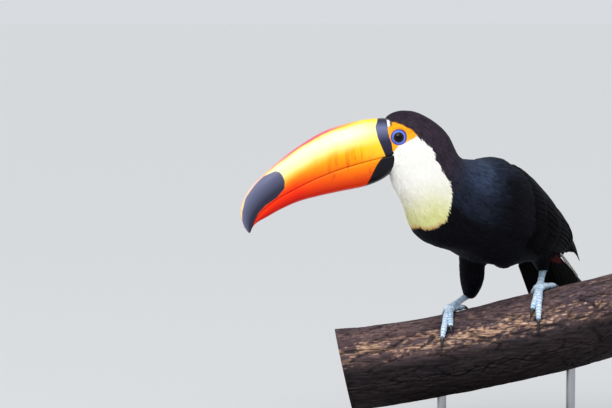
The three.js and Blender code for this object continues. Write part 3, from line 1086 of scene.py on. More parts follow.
@dataclass
class Wing:
    """A folded wing: the upper arm's flesh, and rows of coverts, tertials, secondaries and primaries."""

    side: int  # 1 for the left wing, -1 for the right
    front: Triple = (0.17, 0.3, 0.04)  # where it starts above and below, and its bow
    rings: int = 14
    thickness: float = 0.55
    droop: float = 0.005
    rows: tuple[FeatherRow, ...] = (
        FeatherRow(8, ((0.5, 0.94), (0.5, 0.74)), ((0.82, 0.86), (1.05, 0.42)), 11, (-3.4, -1.9), 0.05, 0.3),
        FeatherRow(10, ((0.47, 0.88), (0.42, 0.32)), ((0.76, 0.9), (0.85, 0.2)), 21, (-3.2, -1.7), 0.05, 0.7),
        FeatherRow(4, ((0.42, 0.34), (0.36, 0.06)), ((0.79, 0.26), (0.66, 0.06)), 25, (-3, -1), 0.1, 0.66),
        FeatherRow(13, ((0.36, 0.98), (0.31, 0.04)), ((0.57, 0.98), (0.56, 0.06)), 22, (-3.0, -0.9), 0.01),
        FeatherRow(3, ((0.26, 1.0), (0.25, 0.93)), ((0.47, 1.02), (0.4, 0.96)), 9, (-2.6, -0.5), 0.15),
        FeatherRow(14, ((0.25, 0.95), (0.19, 0.05)), ((0.42, 0.95), (0.41, 0.05)), 21, (-4.6, -0.6), 0.01),
    )

    BED = Sweep([
        (-76, -56, 303, 22, 52, 36, 36, 42), (-54, -42, 279, 38, 42, 43, 55, 56),
        (-26, -20, 269, 46, 26, 48, 58.5, 54), (6, 7, 259, 48, 26, 43, 44.5, 63),
        (35, 33, 239, 48, 36, 36, 32.5, 42), (62, 60, 219, 48, 42, 18.5, 25.5, 27),
        (79, 75, 201, 48, 45, 14, 12.8, 16)])
    # The degrees round the bed of the upper and lower edges, from the wrist to the tip,
    # and how thick the wing is there.
    SPANS = Station([(60, 112, 2), (38, 116, 3.2), (22, 118, 2.6), (15, 118, 2.2), (14, 108, 4), (30, 97, 3),
                     (54, 72, 1.6)])

    def surface(self, u: float, v: float, out: float) -> Array:
        """Gives a place over the wing's bed.

        Args:
            u: The share from the wrist to the tip, past which it runs straight on.
            v: The share from the back edge to the lower edge.
            out: The height in millimetres.

        Returns:
            The place.
        """
        upper, lower, _ = self.SPANS(u)
        top, bottom, bow = self.front
        start = top + (bottom - top) * v + bow * (2 * v - 1) ** 2
        share = start + (1 - start) * u
        angle = self.side * (upper + (lower - upper) * v)
        back = 0.04
        place, before = (np.array(self.BED.point(at, angle, out)) for at in (share, min(share, 1) - back))
        return place + (place - before) * max(0.0, share - 1) / back

    def crest(self, u: float, v: float) -> float:
        """Gives the height of the wing's outer surface over the bed."""
        return 2.3 + float(self.SPANS(u)[2]) * sqrt(max(0.0, sin(pi * min(max(v, 0.0), 1.0))))

    def add_arm(self, bm: BMesh) -> None:
        """Adds the upper arm's flesh to the skin's draft.

        Args:
            bm: The draft, in millimetres.
        """
        def place(along: float, round_: float) -> Vector:
            """Gives a point of the arm."""
            turn = tau * round_
            high = sin(turn)
            fade = step(along, 0, 0.16) * step(along, 1, 0.7)
            u, v = 0.02 + 0.62 * along, 0.5 - 0.5 * cos(turn)
            out = 0.4 + self.crest(u, v) * max(0.0, high) ** 0.5 * fade if high >= 0 else -3.0
            return Vector(self.surface(u, v, out))

        loft(bm, 30, 24, place)

    def add_feather(self, bm: BMesh, root: Array, tip: Array,
                    heights: Pair, row: FeatherRow, index: int) -> None:
        """Adds one feather.

        Args:
            bm: The shape to add to.
            root: The shares along and down the wing where it starts.
            tip: Where it ends.
            heights: How high its root and its far half lie over the wing's crest.
            row: The row that it is in.
            index: Its number in the wing.
        """
        shares = np.linspace(0, 1, self.rings + 1)
        track = root + (tip - root) * shares[:, None]
        low, high = heights
        rise = np.sin(np.minimum(shares / 0.5, 1) * pi / 2)
        lifts = low + (high - low) * rise - 0.5 * ease(shares, 0.75, 1)
        lifts += [self.crest(u, v) for u, v in track]
        places = np.array([self.surface(u, v, h) for (u, v), h in zip(track, lifts)])
        above = np.array([self.surface(u, v, h + 2) for (u, v), h in zip(track, lifts)])
        way = unit(np.gradient(places, axis=0))
        up = unit(above - places)
        across = unit(np.cross(way, up))
        feather(bm, places, across, np.cross(across, way), row.width, self.thickness, index, row.blunt,
                self.droop)

    def build(self, material: Material) -> Piece:
        """Makes the wing's large feathers.

        Args:
            material: Their material.

        Returns:
            The piece.
        """
        bm = bmesh.new()
        index = 0
        for row in self.rows:
            for i in range(row.count):
                share = i / (row.count - 1)
                jitter = RNG.normal(0, 0.006, 2)
                root, tip = (np.array(first) * (1 - share) + np.array(last) * share
                             for first, last in (row.roots, row.tips))
                heights = (row.heights[0], row.heights[1] + row.stagger * i)
                self.add_feather(bm, root, tip + jitter, heights, row, index)
                index += 1
        name = SIDES[self.side]
        return shade_by_shafts(put_object("wing_feathers_" + name, finish_mesh(bm, "wing"), material,
                                          ["wing_" + name]))


@dataclass
class Tail:
    """The long tail, with white coverts over its root and red ones under it."""

    count: int = 10
    length: float = 149
    feather_width: float = 26
    tip_round: float = 12
    root_half: float = 19.5
    tip_half: float = 28
    arch: float = 5
    curl: float = 6
    shift: Pair = (3.5, 6)  # how far the fan's root and its tips lie to the bird's left
    white_middle: float = 8.5
    red_middle: float = 7.5

    def surface(self, along: float, across: float, lift: float) -> Array:
        """Gives a place by millimetres down the tail and across it, and a height over its plane.

        Args:
            along: Millimetres down it.
            across: Millimetres across it.
            lift: Millimetres over it.

        Returns:
            The place.
        """
        share = along / self.length
        half = 21 + 19 * step(share, -0.1, 0.55)
        height = lift - self.arch * (across / half) ** 2 + self.curl * share ** 2
        return np.array(TAIL.point(-along, across, height))

    def add_feather(self, bm: BMesh, root: Sequence[float], tip: Sequence[float], width: float, index: int,
                    thickness: float = 0.5, blunt: float = 0.6, droop: float = 0.012,
                    rings: int = 12) -> None:
        """Adds a feather.

        Args:
            bm: The shape to add to.
            root: Where it starts, as millimetres along, across and above the tail.
            tip: Where it ends.
            width: Its width.
            index: Its number in its piece.
            thickness: As in feather.
            blunt: As in feather.
            droop: As in feather.
            rings: Steps along it.
        """
        rows = np.array(root) + (np.array(tip) - np.array(root)) * np.linspace(0, 1, rings + 1)[:, None]
        places = np.array([self.surface(*row) for row in rows])
        beside = np.array([self.surface(a, c + 2, h) for a, c, h in rows])
        way = unit(np.gradient(places, axis=0))
        up = unit(np.cross(way, unit(beside - places)))
        up *= np.sign((up @ TAIL.axes()[2]))[:, None]
        feather(bm, places, np.cross(up, way), up, width, thickness, index, blunt, droop)

    def build(self, vane: Material, white: Material, red: Material) -> None:
        """Makes the tail feathers, the white coverts over them with a few on the left edge, and the red ones.

        Args:
            vane: The tail feathers' material.
            white: The upper coverts'.
            red: The lower coverts'.
        """
        bm = bmesh.new()
        middle = (self.count - 1) / 2
        for i in range(self.count):
            k = (i - middle) / middle
            lift = 1.1 - 2.2 * abs(k) + (0.15 if k > 0 else 0)
            root = (0, k * self.root_half + self.shift[0], lift)
            tip = (self.length - self.tip_round * k * k, k * self.tip_half + self.shift[1], lift)
            self.add_feather(bm, root, tip, self.feather_width, i, 0.6, 0.86, 0.004, 18)
        shade_by_shafts(put_object("tail_feathers", finish_mesh(bm, "tail"), vane, ["tail"]))
        bm = bmesh.new()
        for i in range(18):
            k = (i - self.white_middle) / self.white_middle
            long = 46 + 16 * abs(k) + RNG.normal(0, 2)
            tip = (long, k * 35 + 11, 3.2 - 1.8 * abs(k) + 0.3 * (i % 2))
            self.add_feather(bm, (-10, k * 12, 1.0), tip, 11, i)
        for i in range(3):
            tip = (25 + 4 * i, 35.5 + 2 * i, 0.0)
            self.add_feather(bm, (-5, 29 + 2 * i, 0.2), tip, 7.5, 18 + i, droop=-0.02)
        shade_by_shafts(put_object("coverts_white", finish_mesh(bm, "coverts"), white))
        bm = bmesh.new()
        for i in range(16):
            k = (i - self.red_middle) / self.red_middle
            long = 13 - 4 * k * k + RNG.normal(0, 2)
            tip = (long, k * 9 + 19, -3.8 - 0.5 * (i % 2))
            self.add_feather(bm, (-14, k * 7 + 12, -3.6), tip, 8, i, droop=-0.01)
        shade_by_shafts(put_object("coverts_red", finish_mesh(bm, "coverts"), red))


# ---- the bill
@dataclass
class Bill:
    """The great light bill in the head's frame: two arched halves that meet along the gape."""

    STATIONS = Station([  # gape, ridge and keel as (x, z), and the half width
        (21.5, -13, 17.5, 23.5, 27, -30, 21.5), (30, -12.4, 25, 26.5, 42, -35.7, 21.5),
        (56, -11.9, 49, 30.5, 61, -37.5, 20.5), (84, -12.3, 85, 29.9, 87, -35.4, 19),
        (110, -15, 117, 21.8, 110.7, -33.8, 17), (133, -19.4, 145, 11, 131.4, -33.4, 14.5),
        (154, -24.6, 169, -1, 151.9, -36, 11.5), (170, -31.5, 185, -13.6, 168.5, -39.8, 8.2),
        (181.5, -40, 194.2, -29, 181.2, -43, 4.6), (190, -51, 194, -50.5, 189.4, -48.8, 1)])
    ROOT_SHARE = 0.03
    ROOT_DEPTH = 7
    OVERBITE = 0.55
    LIP = 1.5  # how far the face's flesh stands out round the horn before the skin is smoothed and sunk
    # Heights, and how far forward the face ends at each.
    FACE_EDGE = ((-36, -27, -24.6, -21, -14, -5, 4, 14, 26), (36, 32.9, 29, 26.4, 23.6, 25, 26.8, 26, 24))
    POINT = 0.035  # the share of the length that closes to a point
    # Outlines of the dark markings, as millimetres forward and up.
    BAND = [(-9, 40), (25.5, 30), (29.5, 26), (34, 20), (35, 9), (33.6, -3.4), (32, -16), (-9, -16)]
    SPOT = [(141.2, -1.5), (143, 2.6), (147.2, 4.8), (160.4, 2.6), (169.2, -1.4), (184.5, -14), (192, -27),
            (195.5, -39), (198, -60), (187, -60), (184, -43), (176.2, -33.3), (166.9, -27.2), (153.4, -22.4),
            (143.1, -15.5), (140.4, -8)]
    CHIN = [(-9, -6), (32.6, -10.9), (38.3, -13.4), (43.8, -18), (48.8, -23.6), (53.2, -29.1), (62, -40),
            (-9, -50)]

    rings: int = 150
    sides: int = 64
    flat_share: float = 0.24  # the share of the section's points that lie along the gape

    def half(self, bm: BMesh, upper: bool) -> None:
        """Adds one half of the bill.

        Args:
            bm: The shape to add to.
            upper: Whether it is the upper half.
        """
        power = 2.3 if upper else 2.2  # how square the arch is
        outer = slice(2, 4) if upper else slice(4, 6)
        arch = 1 - self.flat_share

        def place(along: float, round_: float) -> Vector:
            """Gives a point of this half's surface."""
            share = max(0.0, (along - self.ROOT_SHARE) / (1 - self.ROOT_SHARE))
            behind = max(0.0, 1 - along / self.ROOT_SHARE)
            row = self.STATIONS(share ** 1.05)
            gape, rise = row[:2], row[outer] - row[:2]
            wide = row[6] - (0 if upper else self.OVERBITE * min(1.0, row[6] / 6)) - 1.6 * behind
            if round_ < arch:
                turn = pi * (round_ / arch - 0.5)
                c, s = abs(cos(turn)), abs(sin(turn))
                full = (c ** power + s ** power) ** (-1 / power)
                across, above = sin(turn) * full, cos(turn) * full
            else:
                across, above = 1 - 2 * (round_ - arch) / self.flat_share, 0.0
                above = (0.05 if upper else -0.03) * (1 - across * across)
            point = sqrt(max(0.0, min(1.0, (1 - share) / self.POINT)))
            x, z = gape + rise * above * (1 - 0.04 * behind) * (0.25 + 0.75 * point)
            return HEAD.point(x - self.ROOT_DEPTH * behind, across * wide, z - (0 if upper else 0.12))

        def above_gape(along: float, round_: float, _: Vector) -> float:
            """Gives the share of the way from the gape to the ridge or keel."""
            return max(0.0, cos(pi * (round_ / arch - 0.5))) if round_ < arch else 0.0

        def from_ridge(along: float, round_: float, _: Vector) -> float:
            """Gives the share of the way round from the ridge or keel to the side."""
            return abs(2 * round_ / arch - 1) if round_ < arch else 1.0

        loft(bm, self.rings, self.sides, place, {"rise": above_gape, "ridge": from_ridge})

    def add_core(self, bm: BMesh) -> None:
        """Adds the flesh that fills the bill's root, so that the face runs on under the horn.

        Args:
            bm: The skin's draft, in millimetres.
        """
        def place(along: float, round_: float) -> Vector:
            """Gives a point of the core."""
            row = self.STATIONS(0.01)
            turn = tau * round_
            across, above = sin(turn), cos(turn)
            full = (abs(across) ** 2.3 + abs(above) ** 2.3) ** (-1 / 2.3)
            reach = (row[3] - row[1] if above > 0 else row[1] - row[5]) + self.LIP
            z = row[1] + above * full * reach
            x = float(np.interp(z, *self.FACE_EDGE)) - 12 * (1 - along)
            return HEAD.point(x, across * full * (row[6] + self.LIP), z)

        loft(bm, 24, 48, place)

    def build(self, upper_finish: Material, lower_finish: Material) -> list[Piece]:
        """Makes both halves, with the distances to their markings.

        Args:
            upper_finish: The upper half's material.
            lower_finish: The lower half's.

        Returns:
            The two pieces.
        """
        made = []
        for name, upper, finish in (("upper_bill", True, upper_finish), ("lower_bill", False, lower_finish)):
            bm = bmesh.new()
            self.half(bm, upper)
            mesh = finish_mesh(bm, name)
            places = HEAD.inside(vertex_places(mesh))
            side_view = places[:, [0, 2]]
            put_attribute(mesh, "reach", places[:, 0])
            put_attribute(mesh, "band", edge_distance(side_view, self.BAND if upper else self.CHIN))
            if upper:
                put_attribute(mesh, "spot", edge_distance(side_view, self.SPOT))
            made.append(put_object(name + "_horn", mesh, finish, [name]))
        return made


# ---- the eyes
@dataclass
class Eye:
    """An eye in its ring of bare blue lid."""

    side: int
    at: Triple = (13.7, 18.4, 3.6)
    radius: float = 7.2
    lid_inner: float = 4.95
    lid_outer: float = 8.3
    lid_swell: float = 0.85
    rim_radius: float = 9.2  # how far round the eye the skin's height is measured, so many times
    rim_steps: int = 48
    rim_heights: Pair = (3.2, 8.5)

    def axes(self) -> Array:
        """Gives the eye's own directions: forward, up, and out along its line of sight.

        Returns:
            Three unit vectors.
        """
        forward, left, up = HEAD.axes()
        out = unit(left * self.side + forward * 0.1)
        along = unit(forward - out * (forward @ out))
        return np.stack([along, up, out])

    def build(self, skin: Piece, eye_finish: Material, lid_finish: Material) -> None:
        """Makes the eyeball and the lid that conforms to it and to the skin.

        Args:
            skin: The skin round the eye.
            eye_finish: The eyeball's material.
            lid_finish: The lid's.
        """
        name = SIDES[self.side]
        middle = np.array(HEAD.point(self.at[0], self.at[1] * self.side, self.at[2]))
        along, up, out = self.axes()
        bm = bmesh.new()
        bmesh.ops.create_uvsphere(bm, u_segments=48, v_segments=32, radius=self.radius)
        off = bm.verts.layers.float.new("off")
        for v in bm.verts:
            share = degrees(acos(max(-1.0, min(1.0, v.co.z / self.radius))))
            v[off] = share
            bulge = 1 + 0.045 * exp(-(share / 30) ** 2)
            v.co = Vector(middle + (along * v.co.x + up * v.co.y + out * v.co.z) * bulge)
        put_object("eyeball_" + name, finish_mesh(bm, "eye"), eye_finish, ["eye_" + name])

        tree = cover_tree([skin])
        low_rim, high_rim = self.rim_heights
        count = self.rim_steps

        def height(turn: float) -> float:
            """Gives how far out the skin lies beside the eye."""
            x, z = cos(turn) * self.rim_radius, sin(turn) * self.rim_radius
            hit = tree.ray_cast(Vector(middle + along * x + up * z + out * 25), Vector(-out))[0]
            return min(max(float((np.array(hit) - middle) @ out), low_rim), high_rim) if hit else low_rim

        rim = [height(t) for t in np.linspace(0, tau, count + 1)[:-1]]
        smooth_rim = [float(np.mean([rim[(i + j) % count] for j in (-2, -1, 0, 1, 2)])) for i in range(count)]

        def place(around: float, round_: float) -> Vector:
            """Gives a point of the lid's ring."""
            at = around % 1.0 * count
            k = int(at)
            first, second = smooth_rim[k % count], smooth_rim[(k + 1) % count]
            outside = first + (second - first) * (at - k)
            turn = tau * round_
            share = 0.5 - 0.5 * cos(turn)
            r = self.lid_inner + (self.lid_outer - self.lid_inner) * share
            ball = sqrt(self.radius ** 2 - min(r, 6.6) ** 2) * 1.01
            low = ball * (1 - share) + (outside - 0.2) * share
            folds = 0.09 * sin(around * tau * 34 + 4 * share) * sin(pi * share)
            rings = 0.10 * sin(share * tau * 2.5)
            high = sin(turn)
            out_by = low + (self.lid_swell * high + folds + rings if high > 0 else 1.2 * high)
            theta = around * tau
            return Vector(middle + (along * cos(theta) + up * sin(theta)) * r + out * out_by)

        bm = bmesh.new()
        loft(bm, 144, 20, place, {"lid": lambda around, round_, _: 0.5 - 0.5 * cos(tau * round_)})
        put_object("lid_" + name, finish_mesh(bm, "lid"), lid_finish)


# ---- the log and the feet on it
@dataclass
class Log:
    """A short cut length of weathered branch."""

    length: float = 350
    radius: float = 44.3
    middle: Triple = (4, 0, 120.2)
    slope: float = 12.4
    taper: float = 0.02
    rings: int = 300
    sides: int = 170

    def axes(self) -> Array:
        """Gives the directions along the log, up from it and across it.

        Returns:
            Three unit vectors.
        """
        turn = radians(self.slope)
        along = np.array([cos(turn), 0, sin(turn)])
        return np.stack([along, [-along[2], 0, along[0]], [0, 1, 0]])

    def over(self, along: float, angle: float, above: float) -> Array:
        """Gives a place on the log.

        Args:
            along: Millimetres along it from its middle.
            angle: Degrees from its top towards +Y.
            above: The height over its bark.

        Returns:
            The place.
        """
        a = radians(angle)
        swell = 0.9 * sin(along / 41 + 2 * a) + 0.7 * sin(along / 67 - 3 * a + 1)
        r = self.radius * (1 - self.taper * along / self.length) + swell + above
        bend = 0.0004 * max(0.0, abs(along) - 30) ** 2
        axis, up, across = self.axes()
        return np.array(self.middle) + axis * along + up * (cos(a) * r + bend) + across * sin(a) * r

    def weather(self, along: float, angle: float) -> Triple:
        """Works out the bark's wear at a place.

        Args:
            along: As in over.
            angle: As in over.

        Returns:
            The height in millimetres, and the shares of crack and of worn tan wood.
        """
        a = radians(angle)
        y, z = sin(a) * 4.2, cos(a) * 4.2
        bend = noise.noise(Vector((along / 70, y * 0.6, z * 0.6))) * 0.9
        wide = noise.noise(Vector((along / 62, y + bend, z + bend)))
        fine = noise.noise(Vector((along / 30 + 7, (y + bend) * 2.6, (z + bend) * 2.6)))
        hair = noise.noise(Vector((along / 12 + 3, y * 7, z * 7)))
        crack = max(step(abs(wide), 0.09, 0.0), 0.55 * step(abs(fine), 0.08, 0.0))
        broad = noise.noise(Vector((along / 40 + 31, y * 1.2, z * 1.2)))
        small = noise.noise(Vector((along / 6 + 11, y * 4.6, z * 4.6)))
        plates = 0.5 * broad + 0.7 * small + 0.5 * hair
        band = step(abs(angle + 60), 25, 8)
        facing = max(band, 0.35 * step(abs(angle + 25), 40, 10))
        worn = step(plates + 0.2 * band, 0.27, 0.38) * facing
        high = -1.9 * crack - 0.45 * worn + 0.4 * fine + 0.28 * hair + 0.35 * wide - 0.15
        return high, crack, worn

    def build(self, finish: Material) -> None:
        """Makes the log with its cut ends.

        Args:
            finish: Its material.
        """
        ends = 0.05  # the share of the rings that each cut end takes
        kept: dict[Pair, Triple] = {}

        def place(share: float, round_: float) -> Vector:
            """Gives a point of the log's bark or of a cut end."""
            angle = round_ * 360 - 180
            along = (min(max((share - ends) / (1 - 2 * ends), 0), 1) - 0.5) * self.length
            radial = min(share / ends, (1 - share) / ends, 1.0)
            high, crack, worn = self.weather(along, angle)
            kept[(share, round_)] = (crack, worn, radial)
            if radial < 1:
                saw = 0.35 * noise.noise(Vector((round_ * 3, radial * 9, along)))
                there = self.over(along, angle, high)
                centre = self.over(along, 0, -self.radius)
                return Vector(centre + (there - centre) * radial + self.axes()[0] * saw)
            return Vector(self.over(along, angle, high))

        def mark(index: int) -> Mark:
            """Reads one of the kept numbers."""
            return lambda share, round_, _: kept[(share, round_ % 1.0)][index]

        bm = bmesh.new()
        loft(bm, self.rings, self.sides, place, {
            "crack": mark(0), "worn": mark(1), "radial": mark(2),
            # painted shade: how far round the log's lower side a place lies, which the wood's colour darkens
            "under": lambda _, round_, __: step(abs(round_ * 360 - 180), 62, 92)})
        put_object("perch_bark", finish_mesh(bm, "log"), finish, ["perch_log"])


@dataclass
class Foot:
    """A foot with two toes forward and two back, plated above, and its dark claws."""

    plan: LegPlan
    log: Log
    ball_height: float = 6
    toe_height: float = 3.3
    claw_dip: float = 12
    claw_start: float = 0.74
    plate: float = 3.6  # length of a plate on a toe

    def toe_line(self, toe: Pair) -> Array:
        """Gives a toe's middle line from the ball of the foot to the claw's tip.

        Args:
            toe: Where the toe ends, from the ball along the log, and in degrees round the log.

        Returns:
            Its places.
        """
        places = []
        for t in np.linspace(0, 1, 6):
            rise = self.ball_height + (self.toe_height - self.ball_height) * min(1, t * 3)
            rise -= self.claw_dip * max(0, t - 0.8)
            places.append(self.log.over(self.plan.ball[0] + toe[0] * t,
                                        self.plan.ball[1] + (toe[1] - self.plan.ball[1]) * t, rise))
        return smooth_curve(places, 201)

    def toe(self, bm: BMesh, line: Array, side: Array, index: int) -> None:
        """Adds one toe with its plates and pads.

        Args:
            bm: The shape to add to.
            line: Its middle line, which goes on into the claw.
            side: A direction across it.
            index: Its number in the foot.
        """
        part = line[:int(len(line) * (self.claw_start + 0.01))]
        length = float(np.linalg.norm(np.diff(part, axis=0), axis=1).sum())
        girth = Station([(4.0,), (3.9,), (3.6,), (3.35,), (3.0,), (2.5,)])
        count = max(4, round(length / self.plate))

        def plates(along: float, round_: float) -> float:
            """Says how deep in a groove between two plates a place is."""
            wave = abs(sin(pi * count * along + 0.25 * cos(tau * round_)))
            return step(wave, 0.42, 0.0) * step(cos(tau * round_), -0.5, 0.1)

        def radius(along: float, round_: float) -> float:
            """Gives the toe's radius with its plates above and its pads below."""
            under = max(0.0, -cos(tau * round_))
            pads = 0.06 * under * sin(tau * along * 3.2)
            joint = 0.05 * cos(tau * along * 2.6)
            end = sqrt(max(0.02, 1 - max(0.0, (along - 0.93) / 0.07) ** 2 * 0.55))
            return girth(along)[0] * (1 + pads + joint - 0.085 * plates(along, round_)) * end

        tube(bm, part, radius, count * 8, 24, side,
             {"groove": lambda along, round_, _: plates(along, round_),
              "upper": lambda along, round_, _: cos(tau * round_)}, cell_of(index, 3))

    def claw(self, line: Array, side: Array, name: str, finish: Material, node: str) -> None:
        """Makes one curved claw.

        Args:
            line: The middle line of its toe and itself.
            side: A direction across it.
            name: Its name.
            finish: Its material.
            node: The CAD node that it stands for.
        """
        part = line[int(len(line) * (self.claw_start - 0.03)):]
        girth = Station([(2.2,), (2.45,), (2.1,), (1.6,), (1.0,), (0.12,)])

        def radius(along: float, round_: float) -> float:
            """Gives a section that is taller than it is wide."""
            return girth(along)[0] * (1 - 0.24 * abs(sin(tau * round_)))

        bm = bmesh.new()
        tube(bm, part, radius, 26, 18, side, {"tip": lambda along, round_, _: along})
        put_object(name, finish_mesh(bm, name), finish, [node])

    def build(self, foot_finish: Material, claw_finish: Material) -> None:
        """Makes the tarsus, pad and toes as one piece, and each claw.

        Args:
            foot_finish: The skin's material.
            claw_finish: The claws'.
        """
        axis = self.log.axes()[0]
        ball = self.log.over(self.plan.ball[0], self.plan.ball[1], self.ball_height)
        ankle = np.array(self.plan.ankle, float)
        heel = ankle + unit(ankle - ball) * 6
        bm = bmesh.new()
        girth = Station([(4.4,), (4.6,), (3.6,), (3.6,), (4.9,)])

        def scales(along: float, round_: float) -> float:
            """Says how deep in a groove between the tarsus's plates a place is."""
            wave = abs(sin(pi * 6 * along + 0.3 * cos(tau * round_)))
            return step(wave, 0.3, 0.0)

        tube(bm, [heel, ankle, ankle * 0.5 + ball * 0.5, ball],
             lambda along, round_: girth(along)[0] * (1 - 0.05 * scales(along, round_)), 60, 28, axis,
             {"groove": lambda along, round_, _: scales(along, round_), "upper": lambda *_: 0.0},
             cell_of(0, 3))
        pad = bmesh.ops.create_uvsphere(bm, u_segments=28, v_segments=18, radius=5.3)["verts"]
        shape = Matrix.Translation(Vector(ball)) @ Matrix.Diagonal((1.15, 1, 0.85, 1))
        bmesh.ops.transform(bm, matrix=shape, verts=pad)
        for i, toe in enumerate(self.plan.toes):
            line = self.toe_line(toe)
            side = axis if toe[1] < 0 else -axis
            self.toe(bm, line, side, i + 1)
            node = f"claw_{self.plan.side}_{i + 1}"
            self.claw(line, side, "nail_" + node[5:], claw_finish, node)
        put_object(f"foot_{self.plan.side}_skin", finish_mesh(bm, "foot"), foot_finish,
                   ["foot_" + self.plan.side])


@dataclass
class Stand:
    """The plain display stand: a flat base and two short rods up to the log."""

    length: float = 230
    width: float = 170
    thickness: float = 16
    corner: float = 24
    edge: float = 2.5
    rod: float = 5
    collar: float = 8
    collar_height: float = 5
    rods: tuple[tuple[str, float], ...] = (("left", -62), ("right", 78))  # names and places along the bird
    sunk: float = 30  # how far under the log's middle line the rods stop

    @staticmethod
    def round_off(bm: BMesh, edges: list, offset: float, segments: int) -> None:
        """Rounds off edges."""
        bmesh.ops.bevel(bm, geom=edges, offset=offset, affect="EDGES", segments=segments, profile=0.5,
                        material=-1)

    def build(self, base_finish: Material, rod_finish: Material, log: Log) -> None:
        """Makes the base and both rods with a small collar at each foot.

        Args:
            base_finish: The base's material.
            rod_finish: The rods'.
            log: The log that the rods run up into.
        """
        bm = bmesh.new()
        bmesh.ops.create_cube(bm, size=1)
        bmesh.ops.scale(bm, vec=(self.length, self.width, self.thickness), verts=bm.verts[:])
        bmesh.ops.translate(bm, vec=(0, 0, self.thickness / 2), verts=bm.verts[:])
        upright = [e for e in bm.edges if abs(e.verts[0].co.z - e.verts[1].co.z) > 1]
        self.round_off(bm, upright, self.corner, 14)
        rims = [e for e in bm.edges if abs(e.verts[0].co.z - e.verts[1].co.z) < 0.01
                and len(e.link_faces) == 2 and abs(e.calc_face_angle(0)) > 1]
        self.round_off(bm, rims, self.edge, 5)
        put_object("stand_base_board", finish_mesh(bm, "base"), base_finish, ["stand_base"])
        for side, x in self.rods:
            top = log.middle[2] + (x - log.middle[0]) * tan(radians(log.slope)) - self.sunk
            bm = bmesh.new()
            low = self.thickness + 0.1
            for radius, height in ((self.rod, top - low), (self.collar, self.collar_height)):
                made = bmesh.ops.create_cone(bm, cap_ends=True, segments=48, radius1=radius, radius2=radius,
                                             depth=height)["verts"]
                bmesh.ops.translate(bm, vec=(x, 0, low + height / 2), verts=made)
                rim = [e for e in bm.edges if e.verts[0] in made and abs(e.calc_face_angle(0)) > 1]
                self.round_off(bm, rim, 0.6, 3)
            name = f"stand_rod_{side}"
            put_object(name + "_steel", finish_mesh(bm, "rod"), rod_finish, [name])


# ---- finishes
@dataclass(frozen=True)
class Plumage:
    """Contour feathers over skin: soft keratin barbs that scatter light, black, with a blue-grey sheen
    painted on the upper parts.

    Each pair of colours is a shadow and a light, and real barbs are finer than the render can show.
    """

    black: tuple[str, str] = ("#030305", "#0b0b11")
    cap: tuple[str, str] = ("#272029", "#3f3540")
    white: tuple[str, str] = ("#f4f2ea", "#fffefa")
    cream: tuple[str, str] = ("#d6d786", "#e8e9ae")
    bare: tuple[str, str] = ("#ee8806", "#ffae22")
    rim: str = "#cc9458"
    # painted sheen: the blue-grey that the black of the upper parts takes where light catches it
    bloom: str = "#37435b"
    # the vent's red, darkened as painted shade, since it lies under the body
    vent: str = "#5c0e06"

    def build(self) -> Material:
        """Makes the material that the skin and the small feathers share.

        Returns:
            The material.
        """
        recipe = Recipe(Surface("plumage of barbed keratin", 0.6, sheen=0.03, sheen_tint="#8d97c4",
                                specular=0.05))
        add, here = recipe.add, recipe.add("here")
        bib, low, rim, bare, cap, bloom, vent, tone = recipe.marks(*Markings.NAMES, "tone")
        mottle = add("noise", here, 120.0, 3.0)
        shade = add("range", add("plus", tone, mottle), 0.4, 1.6)
        pebbles = add("cells", here, 1100.0)
        skin_tone = add("range", add("plus", pebbles, mottle), 0.5, 1.2)
        # the painted sheen, broken up by each feather's tone
        painted_sheen_streaks = add("times", bloom, add("range", tone, 0.0, 1.0, 0.45, 0.95))
        throat = recipe.layers(add("mix", shade, *self.white), (low, add("mix", shade, *self.cream)),
                               (rim, self.rim))
        colour = recipe.layers(add("mix", shade, *self.black), (painted_sheen_streaks, self.bloom),
                               (cap, add("mix", shade, *self.cap)), (bib, throat), (vent, self.vent),
                               (bare, add("mix", skin_tone, *self.bare)))
        return recipe.finish(colour, add("times", add("times", pebbles, bare), 0.0004), 0.6, 1.0)


@dataclass(frozen=True)
class Vane:
    """Large feathers: flat webs of barbs from a shaft, with a satin gloss along the barbs and a painted
    highlight along the shaft.
    """

    name: str
    dark: str
    light: str
    # the colour of the feathers' own margins, also used for the painted highlight along the shaft
    edge: str
    roughness: float = 0.6
    sheen: float = 0.01
    barbs: float = 46.0  # streaks along one feather

    def build(self) -> Material:
        """Makes the material.

        Returns:
            The material.
        """
        recipe = Recipe(Surface(self.name, self.roughness, sheen=self.sheen, sheen_tint="#7684b4",
                                specular=0.03))
        add = recipe.add
        across, along, tone = recipe.marks("across", "along", "tone")
        aside = add("size", across)
        slant = add("minus", along, add("times", aside, 0.12))
        streak = add("sine", add("times", slant, self.barbs * tau))
        uneven = add("plus", add("noise", add("here"), 90.0, 4.0), add("times", tone, 0.5))
        share = add("plus", add("times", streak, 0.12), uneven)
        colour = recipe.layers(self.dark, (add("range", share, 0.4, 1.2), self.light),
                               (add("range", aside, 0.86, 1.0, 0.0, 0.55), self.edge),
                               # a painted highlight along the shaft, in the edge colour
                               (add("range", aside, 0.08, 0.02, 0.0, 0.6), self.edge))
        return recipe.finish(colour, add("times", streak, 0.00004), 0.5, 1.0)


